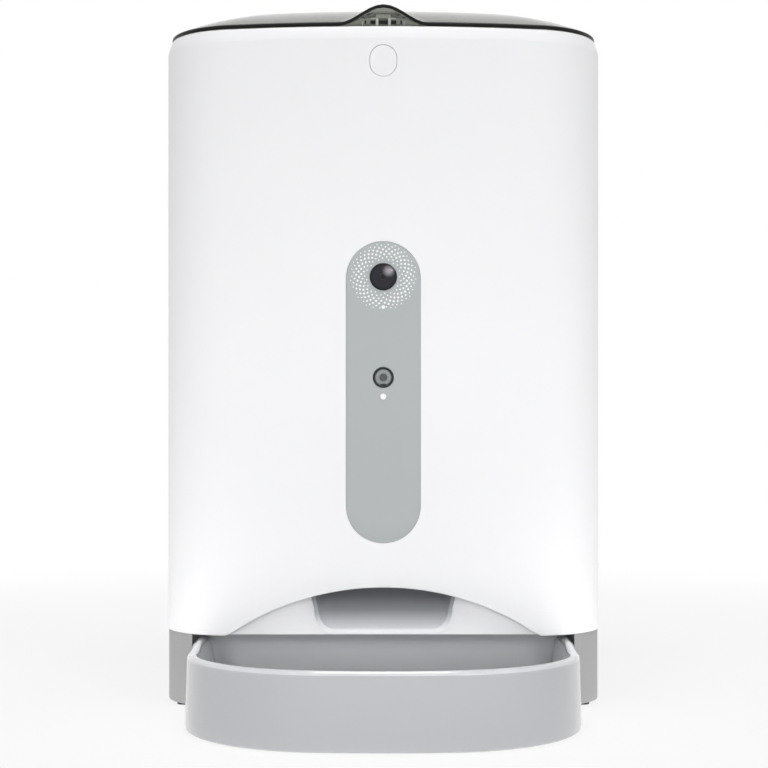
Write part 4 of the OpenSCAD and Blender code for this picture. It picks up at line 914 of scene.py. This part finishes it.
# Copies of solids with eased edges: name, node, slot, ease, and ease of the foot, in mm
EASED = [("grey_base", "base_tub", "base_grey", 0.3, 1.6),
         ("outlet_front", "outlet_panel", "outlet_grey", 0.4, 0),
         ("food_chute", "chute", "chute_plastic", 0.4, 0),
         ("battery_cover", "battery_door", "base_grey", 0.3, 0),
         ("bin_frame", "top_frame", "white_shell", 0.4, 0)]

make_shell()
make_lid()
make_bowl()
make_panel()
make_button()
make_lights()
make_dots()
make_grip()
make_hook()
make_spring()
for copy_name, source, copy_slot, ease_mm, foot_mm in EASED:
    eased_copy(copy_name, source, copy_slot, "body", ease_mm * MM, foot_mm * MM)

# Finish of every CAD node
for node_name, solid in NODES.items():
    solid.data.materials.clear()
    solid.data.materials.append(FINISHES[SLOT_OF[node_name]])

# Stage: pale floor, soft light, the photograph's view

# The camera's place in metres, its focal length and sensor width in mm, and the shift of its frame
CAMERA_PLACE = Vector((0, -0.892, 0.1368))
CAMERA_LENS = 82.5
CAMERA_SENSOR = 36
CAMERA_SHIFT = (0.0009, 0.056)
# Name, place, width and height in metres, spread in degrees, watts, shown in reflections
LAMPS = [("overhead", (0, -0.15, 1.4), (0.5, 0.4), 180, 10.2, True),
         ("fill", (1, -1.5, 1.1), (0.18, 0.18), 180, 1.5, True),
         ("left", (-1.2, -0.5, 0.2), (1, 0.25), 180, 3.6, False),
         ("right", (1.2, -0.5, 0.2), (1, 0.25), 180, 3.9, False),
         ("front", (0, -0.8, 0.1), (0.5, 0.06), 180, 1.9, False),
         ("snoot", (0, -0.6, 0.17), (0.25, 0.05), 20, 0.02, False)]
FLOOR_HALF = 6
# The floor goes over to plain white between these distances from the object, from a share of it on
FLOOR_NEAR = 0.25
FLOOR_FAR = 0.9
FLOOR_SHARE = 0.82
# Light that the floor throws up on the object, its share close by, and the distances over which it falls off
BOUNCE = 1.8
BOUNCE_SHARE = 0.6
BOUNCE_NEAR = 0.2
BOUNCE_FAR = 0.7
# Light from all round
WORLD_SOFT = 0.15


def make_floor(scene):
    """A pale floor that fades to white to the camera and in reflections, and lights the object from below."""
    bm = bmesh.new()
    bmesh.ops.create_grid(bm, x_segments=1, y_segments=1, size=FLOOR_HALF)
    mesh = bpy.data.meshes.new("floor")
    bm.to_mesh(mesh)
    bm.free()
    floor = bpy.data.objects.new("floor", mesh)
    scene.collection.objects.link(floor)
    material, tree = new_material("paper_white_floor")
    path = add_node(tree, "ShaderNodeLightPath")
    place = add_node(tree, "ShaderNodeTexCoord").outputs["Object"]
    away = add_node(tree, "ShaderNodeVectorMath", {0: place}, operation="LENGTH")
    fade = add_node(tree, "ShaderNodeMapRange", {
        "Value": away.outputs["Value"], "From Min": FLOOR_NEAR, "From Max": FLOOR_FAR, "To Min": FLOOR_SHARE},
        interpolation_type="SMOOTHSTEP")
    direct = add_node(tree, "ShaderNodeMath", {
        0: path.outputs["Is Camera Ray"], 1: path.outputs["Is Glossy Ray"]}, operation="MAXIMUM")
    bounce = add_node(tree, "ShaderNodeMapRange", {
        "Value": away.outputs["Value"], "From Min": BOUNCE_NEAR, "From Max": BOUNCE_FAR,
        "To Min": BOUNCE_SHARE, "To Max": 0})
    seen = add_node(tree, "ShaderNodeMix", {"Factor": direct.outputs[0], "A": bounce.outputs[0],
                                            "B": fade.outputs[0]})
    strength = add_node(tree, "ShaderNodeMapRange", {
        "Value": direct.outputs[0], "To Min": BOUNCE, "To Max": 1})
    paper = add_node(tree, "ShaderNodeBsdfDiffuse", {"Color": colour("EDEDED")})
    glow = add_node(tree, "ShaderNodeEmission", {"Color": colour("FFFFFF"), "Strength": strength.outputs[0]})
    both = add_node(tree, "ShaderNodeMixShader", {
        0: seen.outputs[0], 1: paper.outputs[0], 2: glow.outputs[0]})
    mesh.materials.append(close_material(material, tree, both))


def make_world(scene):
    """White to the camera, through the lid and in reflections, and soft light for the rest."""
    world = bpy.data.worlds.new("studio")
    scene.world = world
    world.use_nodes = True
    tree = world.node_tree
    tree.nodes.clear()
    path = add_node(tree, "ShaderNodeLightPath")
    clear = add_node(tree, "ShaderNodeMath", {0: path.outputs["Is Camera Ray"],
                                              1: path.outputs["Is Transmission Ray"]}, operation="MAXIMUM")
    seen = add_node(tree, "ShaderNodeMath", {0: clear.outputs[0], 1: path.outputs["Is Glossy Ray"]},
                    operation="MAXIMUM")
    soft = add_node(tree, "ShaderNodeBackground", {"Color": colour("F4F6FA"), "Strength": WORLD_SOFT})
    white = add_node(tree, "ShaderNodeBackground", {"Color": colour("FFFFFF")})
    mixed = add_node(tree, "ShaderNodeMixShader", {
        0: seen.outputs[0], 1: soft.outputs[0], 2: white.outputs[0]})
    add_node(tree, "ShaderNodeOutputWorld", {"Surface": mixed.outputs[0]})


def make_lamps(scene):
    """Area lamps, all turned to the foot of the object."""
    for name, place, size, spread, power, mirrored in LAMPS:
        light = bpy.data.lights.new(name, "AREA")
        light.shape = "RECTANGLE"
        light.size, light.size_y = size
        light.spread = math.radians(spread)
        light.energy = power
        lamp = bpy.data.objects.new(name, light)
        scene.collection.objects.link(lamp)
        lamp.visible_camera = False
        lamp.visible_glossy = mirrored
        lamp.location = place
        lamp.rotation_euler = (-lamp.location).to_track_quat("-Z", "Y").to_euler()


def make_camera(scene):
    """The photograph's view: level, from the front, with a raised frame."""
    lens = bpy.data.cameras.new("view")
    lens.lens = CAMERA_LENS
    lens.sensor_width = CAMERA_SENSOR
    lens.shift_x, lens.shift_y = CAMERA_SHIFT
    camera = bpy.data.objects.new("view", lens)
    scene.collection.objects.link(camera)
    camera.location = CAMERA_PLACE
    camera.rotation_euler = (math.pi / 2, 0, 0)
    scene.camera = camera


STAGE = bpy.context.scene
STAGE.view_settings.view_transform = "Standard"
make_floor(STAGE)
make_world(STAGE)
make_lamps(STAGE)
make_camera(STAGE)
